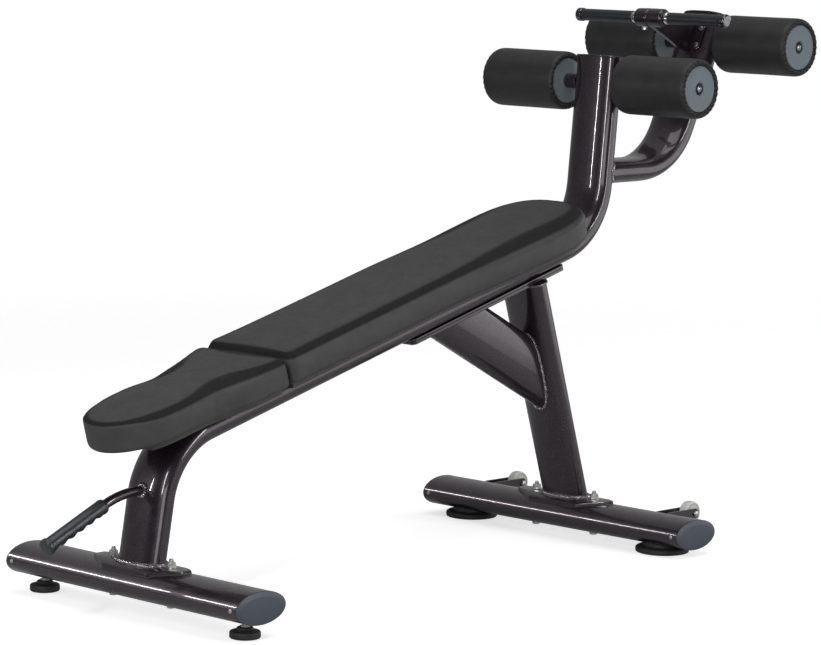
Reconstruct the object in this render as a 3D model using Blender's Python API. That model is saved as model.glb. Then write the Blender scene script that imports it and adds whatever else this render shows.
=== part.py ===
"""A decline sit-up bench for a gym, in metres with +Z up.

X runs across the bench, Y from the head end to the leg rollers, and Z = 0 is the floor. The frame is
drawn in the side plane X = 0, where y is measured from the middle of the low base tube, and `side`
moves those points so that the origin lies under the middle of the whole bench.
"""

import math

import bmesh
import bpy
import numpy as np
from mathutils import Vector

ORIGIN_Y = 0.6936          # from the low base tube to the middle of the bench's length
GAP = 0.0003               # between pieces that touch
WELD_GAP = 0.0008          # where a tube's end is cut to fit round another tube

# The flat-oval tube of the frame, and the elliptical tube of the bases
TUBE = (0.0530, 0.0245)    # half width across the bench, half depth
BRANCH = (0.0515, 0.0245)  # the same for the arm, whose end is cut to fit the post
BRACE = (0.0245, 0.0570)   # the brace stands on edge
TUBE_WALL = 0.0030
TUBE_POWER = 2.7
BASE = (0.0600, 0.0300)    # half width, half height
BASE_WALL = 0.0030
BEND_RADIUS = 0.150
BEND_STEPS = 6

# Corners in each kind of outline
OVAL_CORNERS = 24
ROUND_CORNERS = 16
SMALL_CORNERS = 12

# Side plane: the lines that the tubes follow
SLOPE = math.radians(15.0)
INCLINE_Z = 0.2950         # height of the incline's centre line above the low base tube
LOW_BASE = (0.0, 0.0590)
REAR_BASE = (1.1644, 0.0450)
LOW_BASE_HALF_LENGTH = 0.3146
REAR_BASE_HALF_LENGTH = 0.3487
LOW_POST_LEAN = math.radians(9.8)
HIGH_POST_LEAN = math.radians(5.6)
REAR_LEG_LEAN = math.radians(-17.6)
ARM_LEAN = math.radians(25.0)
ARM_Z = 0.7430
BRACE_ANGLE = math.radians(-27.9)
BRACE_POINT = (0.9, 0.4285)
HIGH_POST_TOP_Z = 0.9770
ARM_TOP_Z = 1.0540
CAP_THICKNESS = 0.0040

# Leg rollers
FRONT_ROLLER = (1.2389, 0.9253)
REAR_ROLLER = (1.5616, 1.0008)
ROLLER_RADIUS = 0.0600
ROLLER_INNER = 0.0810      # where a roller begins, measured from the middle of the bench
ROLLER_OUTER = 0.2662
AXLE_RADIUS = 0.0100
SPACER_RADIUS = 0.0160
HUB_DISC_RADIUS = 0.0460
HUB_DISC_THICKNESS = 0.0060
HUB_SLEEVE_RADIUS = 0.0160
BOLT_DEPTH = 0.0045        # how far the end bolt's seat lies below the disc's face
BOLT_HOLE_RADIUS = 0.0055

# Plates under the incline, with their two bolts, as distances up the slope
PLATE_HALF_WIDTH = 0.0380
PLATE_START = 0.6800
PLATE_END = 1.1350
MOUNT_PLATE_THICKNESS = 0.0050
JOINT_PLATE_THICKNESS = 0.0060
JOINT_BOLTS = {"joint_bolt_low": 0.7270, "joint_bolt_high": 0.9680}

# Pads, as distances up the slope and heights above the incline's centre line
BOARD_BOTTOM = 0.0248
BOARD_TOP = 0.0345
PAD_BOTTOM = 0.0350
HEAD_PAD = (-0.0950, 0.2800)
BACK_PAD = (0.2880, 1.1900)

# Base plates, bolts, feet and wheels
SADDLE_TIP = 0.1200
SADDLE_SHOULDER = 0.0620   # where the hexagon starts to narrow
SADDLE_HALF_WIDTH = 0.0440
SADDLE_THICKNESS = 0.0080
BASE_BOLT_X = 0.0780
LOW_FOOT_X = 0.2710
REAR_FOOT_X = 0.2600
LOW_FOOT_RADIUS = 0.0280
REAR_FOOT_RADIUS = 0.0540
WHEEL = (1.2800, 0.0610)
WHEEL_X = 0.2350
WHEEL_RADIUS = 0.0240
WHEEL_HALF_WIDTH = 0.0100

# Handles
CARRY_Z = 0.2265
CARRY_BEND = -0.0548
CARRY_BEND_RADIUS = 0.185
CARRY_ANGLE = math.radians(-24.0)
CARRY_TUBE_RADIUS = 0.0090
CARRY_GRIP = (0.0410, 0.1900)   # from the bend's corner, along the handle
CARRY_GRIP_RADIUS = 0.0142
ASSIST_BAR = (1.4054, 1.0550)
ASSIST_BAR_RADIUS = 0.0095
COLLAR_RADIUS = 0.0195
COLLAR_HALF_LENGTH = 0.0380
BAR_GRIP = (0.0480, 0.1840)
BAR_END = 0.2000
BRACKET_HALF_THICKNESS = 0.0060

FINISHES = {
    "frame_paint": ((0.016, 0.010, 0.014), 0.25, 0.7),
    "pad_leather": ((0.012, 0.012, 0.012), 0.55, 0.0),
    "roller_leather": ((0.010, 0.010, 0.011), 0.45, 0.0),
    "disc_plastic": ((0.11, 0.14, 0.17), 0.45, 0.0),
    "cap_plastic": ((0.045, 0.055, 0.070), 0.5, 0.0),
    "grip_rubber": ((0.014, 0.017, 0.020), 0.6, 0.0),
    "foot_rubber": ((0.010, 0.010, 0.010), 0.7, 0.0),
    "board_wood": ((0.10, 0.07, 0.045), 0.7, 0.0),
    "zinc_steel": ((0.55, 0.55, 0.55), 0.35, 1.0),
    "chrome": ((0.75, 0.76, 0.78), 0.08, 1.0),
    "wheel_plastic": ((0.62, 0.63, 0.60), 0.4, 0.0),
}


def clear_scene():
    for old in list(bpy.data.objects):
        bpy.data.objects.remove(old, do_unlink=True)


def finish(name):
    """The material of that name, made once."""
    if name in bpy.data.materials:
        return bpy.data.materials[name]
    colour, roughness, metallic = FINISHES[name]
    material = bpy.data.materials.new(name)
    material.use_nodes = True
    shader = material.node_tree.nodes["Principled BSDF"]
    shader.inputs["Base Color"].default_value = (*colour, 1.0)
    shader.inputs["Roughness"].default_value = roughness
    shader.inputs["Metallic"].default_value = metallic
    return material


# Points and lines of the side plane ------------------------------------------------------------------


def side(y, z, x=0.0):
    """A point of the side plane in the bench's own frame."""
    return Vector((x, y - ORIGIN_Y, z))


def on_slope(along, above, x=0.0):
    """A point `along` the incline and `above` its centre line."""
    y = along * math.cos(SLOPE) - above * math.sin(SLOPE)
    z = INCLINE_Z + along * math.sin(SLOPE) + above * math.cos(SLOPE)
    return side(y, z, x)


def leaning(lean):
    """The upward direction of a post that leans back by that angle."""
    return np.array([math.sin(lean), math.cos(lean)])


def meet(point, direction, other, other_direction):
    """Where two lines of the side plane cross."""
    sides = np.array([direction, -np.asarray(other_direction)]).T
    return np.asarray(point) + np.linalg.solve(sides, np.subtract(other, point))[0] * np.asarray(direction)


def at_height(point, direction, z):
    """The point of a line at that height."""
    point = np.asarray(point, float)
    return point + (z - point[1]) / direction[1] * np.asarray(direction)


def bent_path(corners, radius, steps):
    """Points and directions along straight runs, with an arc of that radius in place of each corner."""
    corners = [np.asarray(corner, float) for corner in corners]
    runs = [after - before for before, after in zip(corners, corners[1:])]
    runs = [run / np.linalg.norm(run) for run in runs]
    path = [(corners[0], runs[0])]
    for corner, run, following in zip(corners[1:], runs, runs[1:]):
        turn = math.atan2(run[0] * following[1] - run[1] * following[0], run @ following)
        start = corner - radius * math.tan(abs(turn) / 2) * run
        normal = math.copysign(1.0, turn) * np.array([-run[1], run[0]])
        centre = start + radius * normal
        for angle in np.linspace(0.0, abs(turn), steps):
            point = centre + radius * (math.sin(angle) * run - math.cos(angle) * normal)
            path.append((point, math.cos(angle) * run + math.sin(angle) * normal))
    path.append((corners[-1], runs[-1]))
    return path


# Meshes ------------------------------------------------------------------------------------------------


def superellipse(half_width, half_depth, power, count):
    """Points round a flat-oval section; a power of 2 gives an ellipse."""
    angle = np.linspace(0.0, 2.0 * math.pi, count, endpoint=False)
    across = np.sign(np.cos(angle)) * np.abs(np.cos(angle)) ** (2.0 / power)
    deep = np.sign(np.sin(angle)) * np.abs(np.sin(angle)) ** (2.0 / power)
    return np.stack([half_width * across, half_depth * deep], axis=1)


def depth_at(x, size, power=TUBE_POWER):
    """Half the depth of a flat-oval section at a distance x from its middle."""
    return size[1] * np.maximum(0.0, 1.0 - np.abs(x / size[0]) ** power) ** (1.0 / power)


def make_object(name, verts, faces, material, sharp_angle=40.0):
    mesh = bpy.data.meshes.new(name)
    mesh.from_pydata([tuple(map(float, vert)) for vert in verts], [], faces)
    shape = bmesh.new()
    shape.from_mesh(mesh)
    bmesh.ops.recalc_face_normals(shape, faces=shape.faces)
    shape.to_mesh(mesh)
    shape.free()
    mesh.shade_smooth()
    mesh.set_sharp_from_angle(angle=math.radians(sharp_angle))
    mesh.materials.append(finish(material))
    piece = bpy.data.objects.new(name, mesh)
    bpy.context.collection.objects.link(piece)
    return piece


def skin(name, rings, material, closed=False):
    """A body through rings of points. closed joins the last ring to the first; else each end gets a face."""
    rings = np.asarray(rings, float)
    count, around = rings.shape[:2]
    index = np.arange(count * around).reshape(count, around)
    following = np.roll(index, -1, axis=0) if closed else index[1:]
    before = index if closed else index[:-1]
    quads = np.stack([before, np.roll(before, -1, 1), np.roll(following, -1, 1), following], axis=-1)
    faces = quads.reshape(-1, 4).tolist()
    if not closed:
        faces += [index[0].tolist(), index[-1].tolist()]
    return make_object(name, rings.reshape(-1, 3), faces, material)


def turned(name, outline, centre, axis, material, bored=False, count=ROUND_CORNERS):
    """A round body. outline lists (distance along the axis, radius); a bored one closes on itself."""
    angle = np.linspace(0.0, 2.0 * math.pi, count, endpoint=False)
    around = np.stack([np.cos(angle), np.sin(angle), np.zeros(count)], axis=1)
    rings = [radius * around + [0.0, 0.0, along] for along, radius in outline]
    piece = skin(name, rings, material, closed=bored)
    piece.location = centre
    piece.rotation_mode = "QUATERNION"
    piece.rotation_quaternion = Vector((0.0, 0.0, 1.0)).rotation_difference(Vector(axis))
    return piece


def slab(name, outline, half_width, material):
    """A plate across the bench: an outline of side-plane points carried from -half_width to half_width."""
    rings = [[(x, point[1], point[2]) for point in outline] for x in (-half_width, half_width)]
    return skin(name, rings, material)


def drill(piece, centre, axis, radius, length):
    """Cuts a round hole through a piece with a hidden cutter, whose flats lie at that radius."""
    name = f"{piece.name}_cutter_{len(piece.modifiers)}"
    half = length / 2.0
    radius = radius / math.cos(math.pi / SMALL_CORNERS)
    cutter = turned(name, [(-half, radius), (half, radius)], centre, axis, "zinc_steel", count=SMALL_CORNERS)
    cutter.hide_render = True
    cutter.display_type = "WIRE"
    cut = piece.modifiers.new("drill", "BOOLEAN")
    cut.operation = "DIFFERENCE"
    cut.object = cutter
    return cutter


def face_line(point, direction, size=None, which=1.0, gap=GAP):
    """A face that ends a tube: a flat one, or the face of another tube on one side of its centre line."""
    normal = np.array([-direction[1], direction[0]])

    def reach(position, heading, x):
        offset = which * ((depth_at(x, size) if size else 0.0) + gap)
        away = np.asarray(point) - position
        return (away @ normal + offset) / (heading @ normal)

    return reach


def tube(name, path, size, start=None, end=None, wall=TUBE_WALL, power=TUBE_POWER, count=OVAL_CORNERS):
    """A hollow tube along a side-plane path; start and end give how far each end runs on to a face."""

    def rings(half_width, half_depth):
        section = superellipse(half_width, half_depth, power, count)
        found = []
        for place, (point, direction) in enumerate(path):
            normal = np.array([-direction[1], direction[0]])
            flat = point + section[:, 1:] * normal
            cut = start if place == 0 else end if place == len(path) - 1 else None
            if cut:
                flat = np.array([p + cut(p, direction, x) * direction for p, x in zip(flat, section[:, 0])])
            found.append([side(y, z, x) for x, (y, z) in zip(section[:, 0], flat)])
        return found

    outer = rings(size[0], size[1])
    inner = rings(size[0] - wall, size[1] - wall)
    return skin(name, outer + inner[::-1], "frame_paint", closed=True)


def end_cap(name, point, direction):
    """A flat-oval plug plate that closes the top of a tube, a little larger than the tube."""
    steps = [(GAP, 0.0000), (CAP_THICKNESS * 0.6, 0.0012), (CAP_THICKNESS, -0.0010)]
    normal = np.array([-direction[1], direction[0]])
    rings = []
    for above, grow in steps:
        section = superellipse(TUBE[0] + grow, TUBE[1] + grow, TUBE_POWER, OVAL_CORNERS)
        middle = np.asarray(point) + above * np.asarray(direction)
        rings.append([side(*(middle + deep * normal), x) for x, deep in section])
    return skin(name, rings, "frame_paint")


# Frame ---------------------------------------------------------------------------------------------------

UPHILL = np.array([math.cos(SLOPE), math.sin(SLOPE)])
INCLINE = (0.0, INCLINE_Z)
LOW_POST = (0.0, LOW_BASE[1] + BASE[1] + SADDLE_THICKNESS)
UNDER_PLATES = TUBE[1] + 2 * GAP + MOUNT_PLATE_THICKNESS + JOINT_PLATE_THICKNESS


def make_main_frame():
    low, high = leaning(LOW_POST_LEAN), leaning(HIGH_POST_LEAN)
    top = at_height(FRONT_ROLLER, high, HIGH_POST_TOP_Z)
    corners = [
        LOW_POST,
        meet(LOW_POST, low, INCLINE, UPHILL),
        meet(INCLINE, UPHILL, FRONT_ROLLER, high),
        top,
    ]
    path = bent_path(corners, BEND_RADIUS, BEND_STEPS)
    floor = face_line(LOW_POST, (1.0, 0.0))
    frame = tube("main_frame_tube", path, TUBE, start=floor)
    drill(frame, side(*FRONT_ROLLER), (1, 0, 0), AXLE_RADIUS + GAP, 0.12)
    for along in JOINT_BOLTS.values():
        drill(frame, on_slope(along, -TUBE[1]), slope_normal(), BOLT_HOLE_RADIUS, 0.014)
    end_cap("post_top_cap", top, high)


def slope_normal():
    return Vector((0.0, -math.sin(SLOPE), math.cos(SLOPE)))


def make_arm():
    """The rear arm leaves the back of the upper post level and bends up between the rear rollers."""
    high, lean = leaning(HIGH_POST_LEAN), leaning(ARM_LEAN)
    start = meet(FRONT_ROLLER, high, (0.0, ARM_Z), (1.0, 0.0))
    top = at_height(REAR_ROLLER, lean, ARM_TOP_Z)
    corner = meet((0.0, ARM_Z), (1.0, 0.0), REAR_ROLLER, lean)
    path = bent_path([start, corner, top], BEND_RADIUS, BEND_STEPS)
    post_face = face_line(FRONT_ROLLER, high, TUBE, -1.0, WELD_GAP)
    arm = tube("rear_arm_tube", path, BRANCH, start=post_face)
    drill(arm, side(*REAR_ROLLER), (1, 0, 0), AXLE_RADIUS + GAP, 0.12)
    end_cap("arm_top_cap", top, lean)


def make_joint_plates():
    top = -TUBE[1] - GAP
    plates = {"mounting_plate": MOUNT_PLATE_THICKNESS, "joint_plate": JOINT_PLATE_THICKNESS}
    for name, thickness in plates.items():
        bottom = top - thickness
        corners = [(PLATE_START, top), (PLATE_END, top), (PLATE_END, bottom), (PLATE_START, bottom)]
        plate = slab(name, [on_slope(*corner) for corner in corners], PLATE_HALF_WIDTH, "frame_paint")
        for along in JOINT_BOLTS.values():
            drill(plate, on_slope(along, top - thickness / 2), slope_normal(), BOLT_HOLE_RADIUS, 0.014)
        top = bottom - GAP
    head = [(0.0000, 0.0090), (0.0020, 0.0090), (0.0022, 0.0075), (0.0085, 0.0070)]
    shank = [(-0.0180, 0.0042), (-0.0170, 0.0050), (0.0000, 0.0050)]
    for name, along in JOINT_BOLTS.items():
        turned(name, shank + head, on_slope(along, top), -slope_normal(), "zinc_steel", count=SMALL_CORNERS)


def make_rear_leg():
    """The rear leg stands on its foot plate and runs up to the joint plate; the brace meets its front."""
    lean = leaning(REAR_LEG_LEAN)
    foot = (REAR_BASE[0], REAR_BASE[1] + BASE[1] + SADDLE_THICKNESS)
    under = on_line_under_plates()
    top = meet(foot, lean, under, UPHILL)
    floor = face_line(foot, (1.0, 0.0))
    plates = face_line(under, UPHILL, which=-1.0)
    tube("rear_leg_tube", [(np.array(foot), lean), (top, lean)], TUBE, floor, plates)
    heading = np.array([math.cos(BRACE_ANGLE), math.sin(BRACE_ANGLE)])
    start = meet(BRACE_POINT, heading, under, UPHILL)
    end = meet(BRACE_POINT, heading, foot, lean)
    leg_face = face_line(foot, lean, TUBE, 1.0, WELD_GAP)
    tube("brace_tube", [(start, heading), (end, heading)], BRACE, plates, leg_face)


def on_line_under_plates():
    """A point of the joint plate's lower face, in side-plane coordinates."""
    point = on_slope(PLATE_START, -UNDER_PLATES)
    return (point.y + ORIGIN_Y, point.z)


# Bases ---------------------------------------------------------------------------------------------------


def base_height(base, half_height, y):
    """The height of a base tube's upper side, grown to that half height, at a distance y from its middle."""
    half_width = BASE[0] + half_height - BASE[1]
    return base[1] + half_height * math.sqrt(1.0 - (y / half_width) ** 2)


def make_base(label, base, half_length, foot_x):
    end = half_length - 0.0060
    section = superellipse(BASE[0], BASE[1], 2.0, OVAL_CORNERS)
    inside = superellipse(BASE[0] - BASE_WALL, BASE[1] - BASE_WALL, 2.0, OVAL_CORNERS)
    rings = [[side(base[0] + y, base[1] + z, x) for y, z in section] for x in (-end, end)]
    rings += [[side(base[0] + y, base[1] + z, x) for y, z in inside] for x in (end, -end)]
    body = skin(f"{label}_base_tube", rings, "frame_paint", closed=True)
    for x in (-BASE_BOLT_X, BASE_BOLT_X):
        drill(body, side(*base, x), (0, 0, 1), BOLT_HOLE_RADIUS, 0.09)
    for x in (-foot_x, foot_x):
        drill(body, side(base[0], base[1] - BASE[1], x), (0, 0, 1), BOLT_HOLE_RADIUS, 0.02)
    for name, way in (("left", -1.0), ("right", 1.0)):
        steps = [(end - 0.0120, -0.0036), (end + GAP, -0.0036), (end + GAP, 0.0), (end + 0.0040, 0.0)]
        steps.append((half_length, -0.0022))
        rings = []
        for x, grow in steps:
            ring = superellipse(BASE[0] + grow, BASE[1] + grow, 2.0, OVAL_CORNERS)
            rings.append([side(base[0] + y, base[1] + z, way * x) for y, z in ring])
        skin(f"{label}_base_cap_{name}", rings, "cap_plastic")


def make_foot_plate(label, base):
    """A hexagonal plate bent over the base tube, under the foot of a post."""
    taper = np.linspace(SADDLE_TIP, SADDLE_SHOULDER, 5)
    stations = [*-taper, *taper[::-1]]
    across = np.linspace(-1.0, 1.0, 9)
    flat = 0.40
    rings = []
    for x in stations:
        half = SADDLE_HALF_WIDTH * np.interp(abs(x), [SADDLE_SHOULDER, SADDLE_TIP], [1.0, 0.25])
        low = [(t * half, base_height(base, BASE[1] + WELD_GAP, t * half)) for t in across]
        high = []
        for t in across[::-1]:
            top = base_height(base, BASE[1] + SADDLE_THICKNESS, t * half)
            flat_top = base_height(base, BASE[1] + SADDLE_THICKNESS, flat * SADDLE_HALF_WIDTH)
            high.append((t * half, min(top, flat_top)))
        rings.append([side(base[0] + y, z, x) for y, z in low + high])
    plate = skin(f"{label}_foot_plate", rings, "frame_paint")
    for x in (-BASE_BOLT_X, BASE_BOLT_X):
        drill(plate, side(base[0], base[1] + BASE[1], x), (0, 0, 1), BOLT_HOLE_RADIUS, 0.04)


def make_base_bolts(label, base):
    """Each bolt runs up through its base tube and foot plate, with its nut on top."""
    head = BASE[1] + GAP
    nut = BASE[1] + SADDLE_THICKNESS + GAP
    outline = [
        (-head - 0.0070, 0.0075), (-head, 0.0080), (-head, 0.0050), (nut, 0.0050), (nut, 0.0095),
        (nut + 0.0018, 0.0095), (nut + 0.0018, 0.0085), (nut + 0.0100, 0.0080), (nut + 0.0102, 0.0048),
        (nut + 0.0165, 0.0044),
    ]
    for name, x in (("left", -BASE_BOLT_X), ("right", BASE_BOLT_X)):
        bolt = f"{label}_base_bolt_{name}"
        turned(bolt, outline, side(*base, x), (0, 0, 1), "zinc_steel", count=SMALL_CORNERS)


def make_feet():
    low = [
        (0.0, 0.0250), (0.0020, LOW_FOOT_RADIUS), (0.0085, LOW_FOOT_RADIUS), (0.0110, 0.0235),
        (0.0150, 0.0130), (0.0205, 0.0110), (0.0205, 0.0050), (0.0700, 0.0050),
    ]
    rim = [(0.0530, 0.0), (REAR_FOOT_RADIUS, 0.0020), (REAR_FOOT_RADIUS, 0.0095), (0.0500, 0.0120)]
    tube_bottom = REAR_BASE[1] - BASE[1]
    for name, way in (("left", -1.0), ("right", 1.0)):
        place = side(LOW_BASE[0], 0.0, way * LOW_FOOT_X)
        turned(f"levelling_foot_{name}", low, place, (0, 0, 1), "foot_rubber")
        angle = np.linspace(0.0, 2.0 * math.pi, ROUND_CORNERS, endpoint=False)
        rings = []
        for radius, z in rim:
            rings.append([(radius * math.cos(a), radius * math.sin(a), z) for a in angle])
        for radius in (0.0360, 0.0210, 0.0050):
            ring = []
            for a in angle:
                y = radius * math.sin(a)
                hug = tube_bottom + BASE[1] * (1.0 - math.sqrt(1.0 - (y / BASE[0]) ** 2))
                ring.append((radius * math.cos(a), y, hug - WELD_GAP))
            rings.append(ring)
        rings.append([(0.0050 * math.cos(a), 0.0050 * math.sin(a), 0.0300) for a in angle])
        foot = skin(f"rear_foot_{name}", rings, "foot_rubber")
        foot.location = side(REAR_BASE[0], 0.0, way * REAR_FOOT_X)


def make_wheels():
    """Each wheel turns between the plates of a fork, whose web follows the back of the rear base tube."""
    inside, outside = 0.0118, 0.0160
    web = REAR_BASE[0] + BASE[0] + 0.0048
    tip = WHEEL[0] + 0.0100
    climb = np.linspace(0.05, 1.12, 6)
    tread = [
        (-WHEEL_HALF_WIDTH, 0.0045), (-WHEEL_HALF_WIDTH, 0.0110), (-0.0085, 0.0120), (-0.0085, 0.0185),
        (-WHEEL_HALF_WIDTH, 0.0195), (-0.0070, WHEEL_RADIUS),
    ]
    tread += [(-along, radius) for along, radius in tread[::-1]]
    pin = [(0.0210, 0.0060), (0.0165, 0.0065), (0.0165, 0.0040)]
    pin = [(-along, radius) for along, radius in pin] + pin[::-1]
    for name, way in (("left", -1.0), ("right", 1.0)):
        x = way * WHEEL_X
        rings = []
        for angle in climb:
            z = REAR_BASE[1] + BASE[1] * math.sin(angle)
            back = REAR_BASE[0] + BASE[0] * math.cos(angle) + WELD_GAP
            plates = [(-outside, back), (outside, back), (outside, tip), (inside, tip)]
            plates += [(inside, web), (-inside, web), (-inside, tip), (-outside, tip)]
            rings.append([side(y, z, x + across) for across, y in plates])
        fork = skin(f"wheel_fork_{name}", rings, "frame_paint")
        drill(fork, side(*WHEEL, x), (1, 0, 0), 0.0044, 0.05)
        turned(f"transport_wheel_{name}", tread, side(*WHEEL, x), (1, 0, 0), "wheel_plastic", bored=True)
        turned(f"wheel_axle_{name}", pin, side(*WHEEL, x), (1, 0, 0), "zinc_steel", count=SMALL_CORNERS)


# Leg rollers ---------------------------------------------------------------------------------------------


def make_axle(name, place):
    """A rod through the frame, with a spacer on each side and a threaded hole in each end."""
    end = ROLLER_OUTER - BOLT_DEPTH - GAP
    near, far = TUBE[0] + WELD_GAP, ROLLER_INNER - WELD_GAP
    half = [(end - 0.0150, 0.0044), (end, 0.0044), (end, AXLE_RADIUS), (far, AXLE_RADIUS)]
    half += [(far, SPACER_RADIUS), (near, SPACER_RADIUS), (near, AXLE_RADIUS)]
    outline = half + [(-along, radius) for along, radius in half[::-1]]
    turned(name, outline, side(*place), (1, 0, 0), "zinc_steel")


def make_roller(label, place, way):
    """Foam, hub and end bolt of one roller, drawn from its inner end and turned about the axle."""
    length = ROLLER_OUTER - ROLLER_INNER
    disc = HUB_DISC_THICKNESS
    foam = [(0.0, HUB_DISC_RADIUS + 0.0006), (0.0, 0.0550), (0.0060, ROLLER_RADIUS)]
    foam += [(length - along, radius) for along, radius in foam[::-1]]
    foam += [
        (length - disc - GAP, HUB_DISC_RADIUS + 0.0006), (length - disc - GAP, HUB_SLEEVE_RADIUS + GAP),
        (disc + GAP, HUB_SLEEVE_RADIUS + GAP), (disc + GAP, HUB_DISC_RADIUS + 0.0006),
    ]
    hub = [
        (0.0, AXLE_RADIUS + 0.0005), (0.0, HUB_DISC_RADIUS), (disc, HUB_DISC_RADIUS), (disc, HUB_SLEEVE_RADIUS),
        (length - disc, HUB_SLEEVE_RADIUS), (length - disc, HUB_DISC_RADIUS), (length, HUB_DISC_RADIUS),
        (length, 0.0135), (length - BOLT_DEPTH, 0.0135), (length - BOLT_DEPTH, AXLE_RADIUS + 0.0005),
    ]
    seat = length - BOLT_DEPTH + GAP
    bolt = [(seat - 0.0120, 0.0038), (seat, 0.0038), (seat, 0.0120), (seat + 0.0015, 0.0120)]
    bolt += [(seat + 0.0015, 0.0075), (seat + 0.0050, 0.0068)]
    centre = side(*place, way * ROLLER_INNER)
    axis = (way, 0.0, 0.0)
    turned(f"{label}_foam", foam, centre, axis, "roller_leather", bored=True)
    turned(f"{label}_hub", hub, centre, axis, "disc_plastic", bored=True)
    turned(f"{label}_end_bolt", bolt, centre, axis, "zinc_steel", count=SMALL_CORNERS)


def make_rollers():
    for row, place in (("front", FRONT_ROLLER), ("rear", REAR_ROLLER)):
        make_axle(f"{row}_roller_axle", place)
        for name, way in (("left", -1.0), ("right", 1.0)):
            make_roller(f"{row}_roller_{name}", place, way)


# Handles -------------------------------------------------------------------------------------------------


def make_carry_handle():
    heading = np.array([-math.cos(CARRY_ANGLE), math.sin(CARRY_ANGLE)])
    corner = np.array([CARRY_BEND, CARRY_Z])
    low = leaning(LOW_POST_LEAN)
    start = meet(LOW_POST, low, (0.0, CARRY_Z), (1.0, 0.0))
    end = corner + (CARRY_GRIP[1] - 0.0045) * heading
    path = bent_path([start, corner, end], CARRY_BEND_RADIUS, 5)
    radius = CARRY_TUBE_RADIUS
    post_face = face_line(LOW_POST, low, TUBE, 1.0, WELD_GAP)
    size = (radius, radius)
    tube("carry_handle_tube", path, size, post_face, wall=0.002, power=2.0, count=SMALL_CORNERS)
    length = CARRY_GRIP[1] - CARRY_GRIP[0]
    bore = radius + GAP
    grip = [
        (length - 0.0040, 0.0020), (length - 0.0040, bore), (0.0, bore), (0.0, CARRY_GRIP_RADIUS - 0.0015),
        (0.0040, CARRY_GRIP_RADIUS), (length - 0.0100, CARRY_GRIP_RADIUS), (length - 0.0085, 0.0165),
        (length - 0.0015, 0.0165), (length, 0.0150),
    ]
    place = side(*(corner + CARRY_GRIP[0] * heading))
    turned("carry_handle_grip", grip, place, (0.0, *heading), "grip_rubber")


def make_assist_handle():
    """The bar that the user pulls on to sit up, in a collar on a bracket in front of the rear arm."""
    bar = side(*ASSIST_BAR)
    radius = ASSIST_BAR_RADIUS
    half = [(BAR_END - 0.0045, radius - 0.0010), (BAR_END - 0.0055, radius)]
    outline = half + [(-along, size) for along, size in half[::-1]]
    turned("assist_bar", outline, bar, (1, 0, 0), "chrome", count=SMALL_CORNERS)
    collar = [
        (-COLLAR_HALF_LENGTH, radius + GAP), (-COLLAR_HALF_LENGTH, 0.0160),
        (-COLLAR_HALF_LENGTH + 0.0050, COLLAR_RADIUS), (COLLAR_HALF_LENGTH - 0.0050, COLLAR_RADIUS),
        (COLLAR_HALF_LENGTH, 0.0160), (COLLAR_HALF_LENGTH, radius + GAP),
    ]
    turned("assist_bar_collar", collar, bar, (1, 0, 0), "frame_paint", bored=True)
    set_bolt = [(0.0, 0.0040), (0.0, 0.0068), (0.0065, 0.0064)]
    place = side(ASSIST_BAR[0], ASSIST_BAR[1] - COLLAR_RADIUS - GAP, -0.0180)
    turned("collar_set_bolt", set_bolt, place, (0, 0, -1), "zinc_steel", count=SMALL_CORNERS)
    sleeve, grip_radius = radius + GAP, 0.0125
    grip = [
        (BAR_GRIP[0], sleeve), (BAR_GRIP[0], grip_radius - 0.0015), (BAR_GRIP[0] + 0.0020, grip_radius),
        (BAR_GRIP[1] - 0.0010, grip_radius), (BAR_GRIP[1], grip_radius - 0.0010), (BAR_GRIP[1], sleeve),
    ]
    plug = [
        (BAR_END - 0.0155, sleeve), (BAR_END - 0.0155, 0.0130), (BAR_END - 0.0140, 0.0140),
        (BAR_END - 0.0020, 0.0140), (BAR_END, 0.0125), (BAR_END, 0.0020), (BAR_END - 0.0040, 0.0020),
        (BAR_END - 0.0040, sleeve),
    ]
    for name, way in (("left", -1.0), ("right", 1.0)):
        turned(f"bar_grip_{name}", grip, bar, (way, 0, 0), "grip_rubber", bored=True)
        turned(f"bar_end_plug_{name}", plug, bar, (way, 0, 0), "chrome", bored=True)
    make_bracket()


def make_bracket():
    """The bracket plate wraps the collar's rear and runs down to the front face of the rear arm."""
    lean = leaning(ARM_LEAN)
    forward = np.array([-lean[1], lean[0]]) * (TUBE[1] + WELD_GAP)
    upper = at_height(REAR_ROLLER, lean, 1.0340) + forward
    lower = at_height(REAR_ROLLER, lean, 0.9700) + forward
    reach = COLLAR_RADIUS + 0.0005
    outline = [upper, lower, (1.4900, 0.9930)]
    for angle in np.linspace(math.radians(-82), math.radians(22), 8):
        outline.append((ASSIST_BAR[0] + reach * math.cos(angle), ASSIST_BAR[1] + reach * math.sin(angle)))
    slab("assist_handle_bracket", [side(*point) for point in outline], BRACKET_HALF_THICKNESS, "frame_paint")


# Upholstery ----------------------------------------------------------------------------------------------


def back_pad_half_width(along):
    """A straight waist that swells towards the high end, which is round."""
    swell = np.clip((along - 0.72) / 0.30, 0.0, 1.0)
    half = 0.1180 + 0.0190 * swell * swell * (3.0 - 2.0 * swell)
    rounding = np.clip((along - 1.02) / (BACK_PAD[1] - 1.02), 0.0, 1.0)
    return half * (1.0 - rounding**2.4) ** (1.0 / 2.4)


def head_pad_half_width(along):
    """A neck that swells to the back pad's width, and a head end that is nearly a half round."""
    swell = np.clip((along - 0.09) / 0.13, 0.0, 1.0)
    rounding = np.clip((0.03 - along) / (0.03 - HEAD_PAD[0]), 0.0, 1.0)
    return (0.0970 + 0.0210 * swell * swell * (3.0 - 2.0 * swell)) * math.sqrt(1.0 - rounding**2.1)


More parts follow.
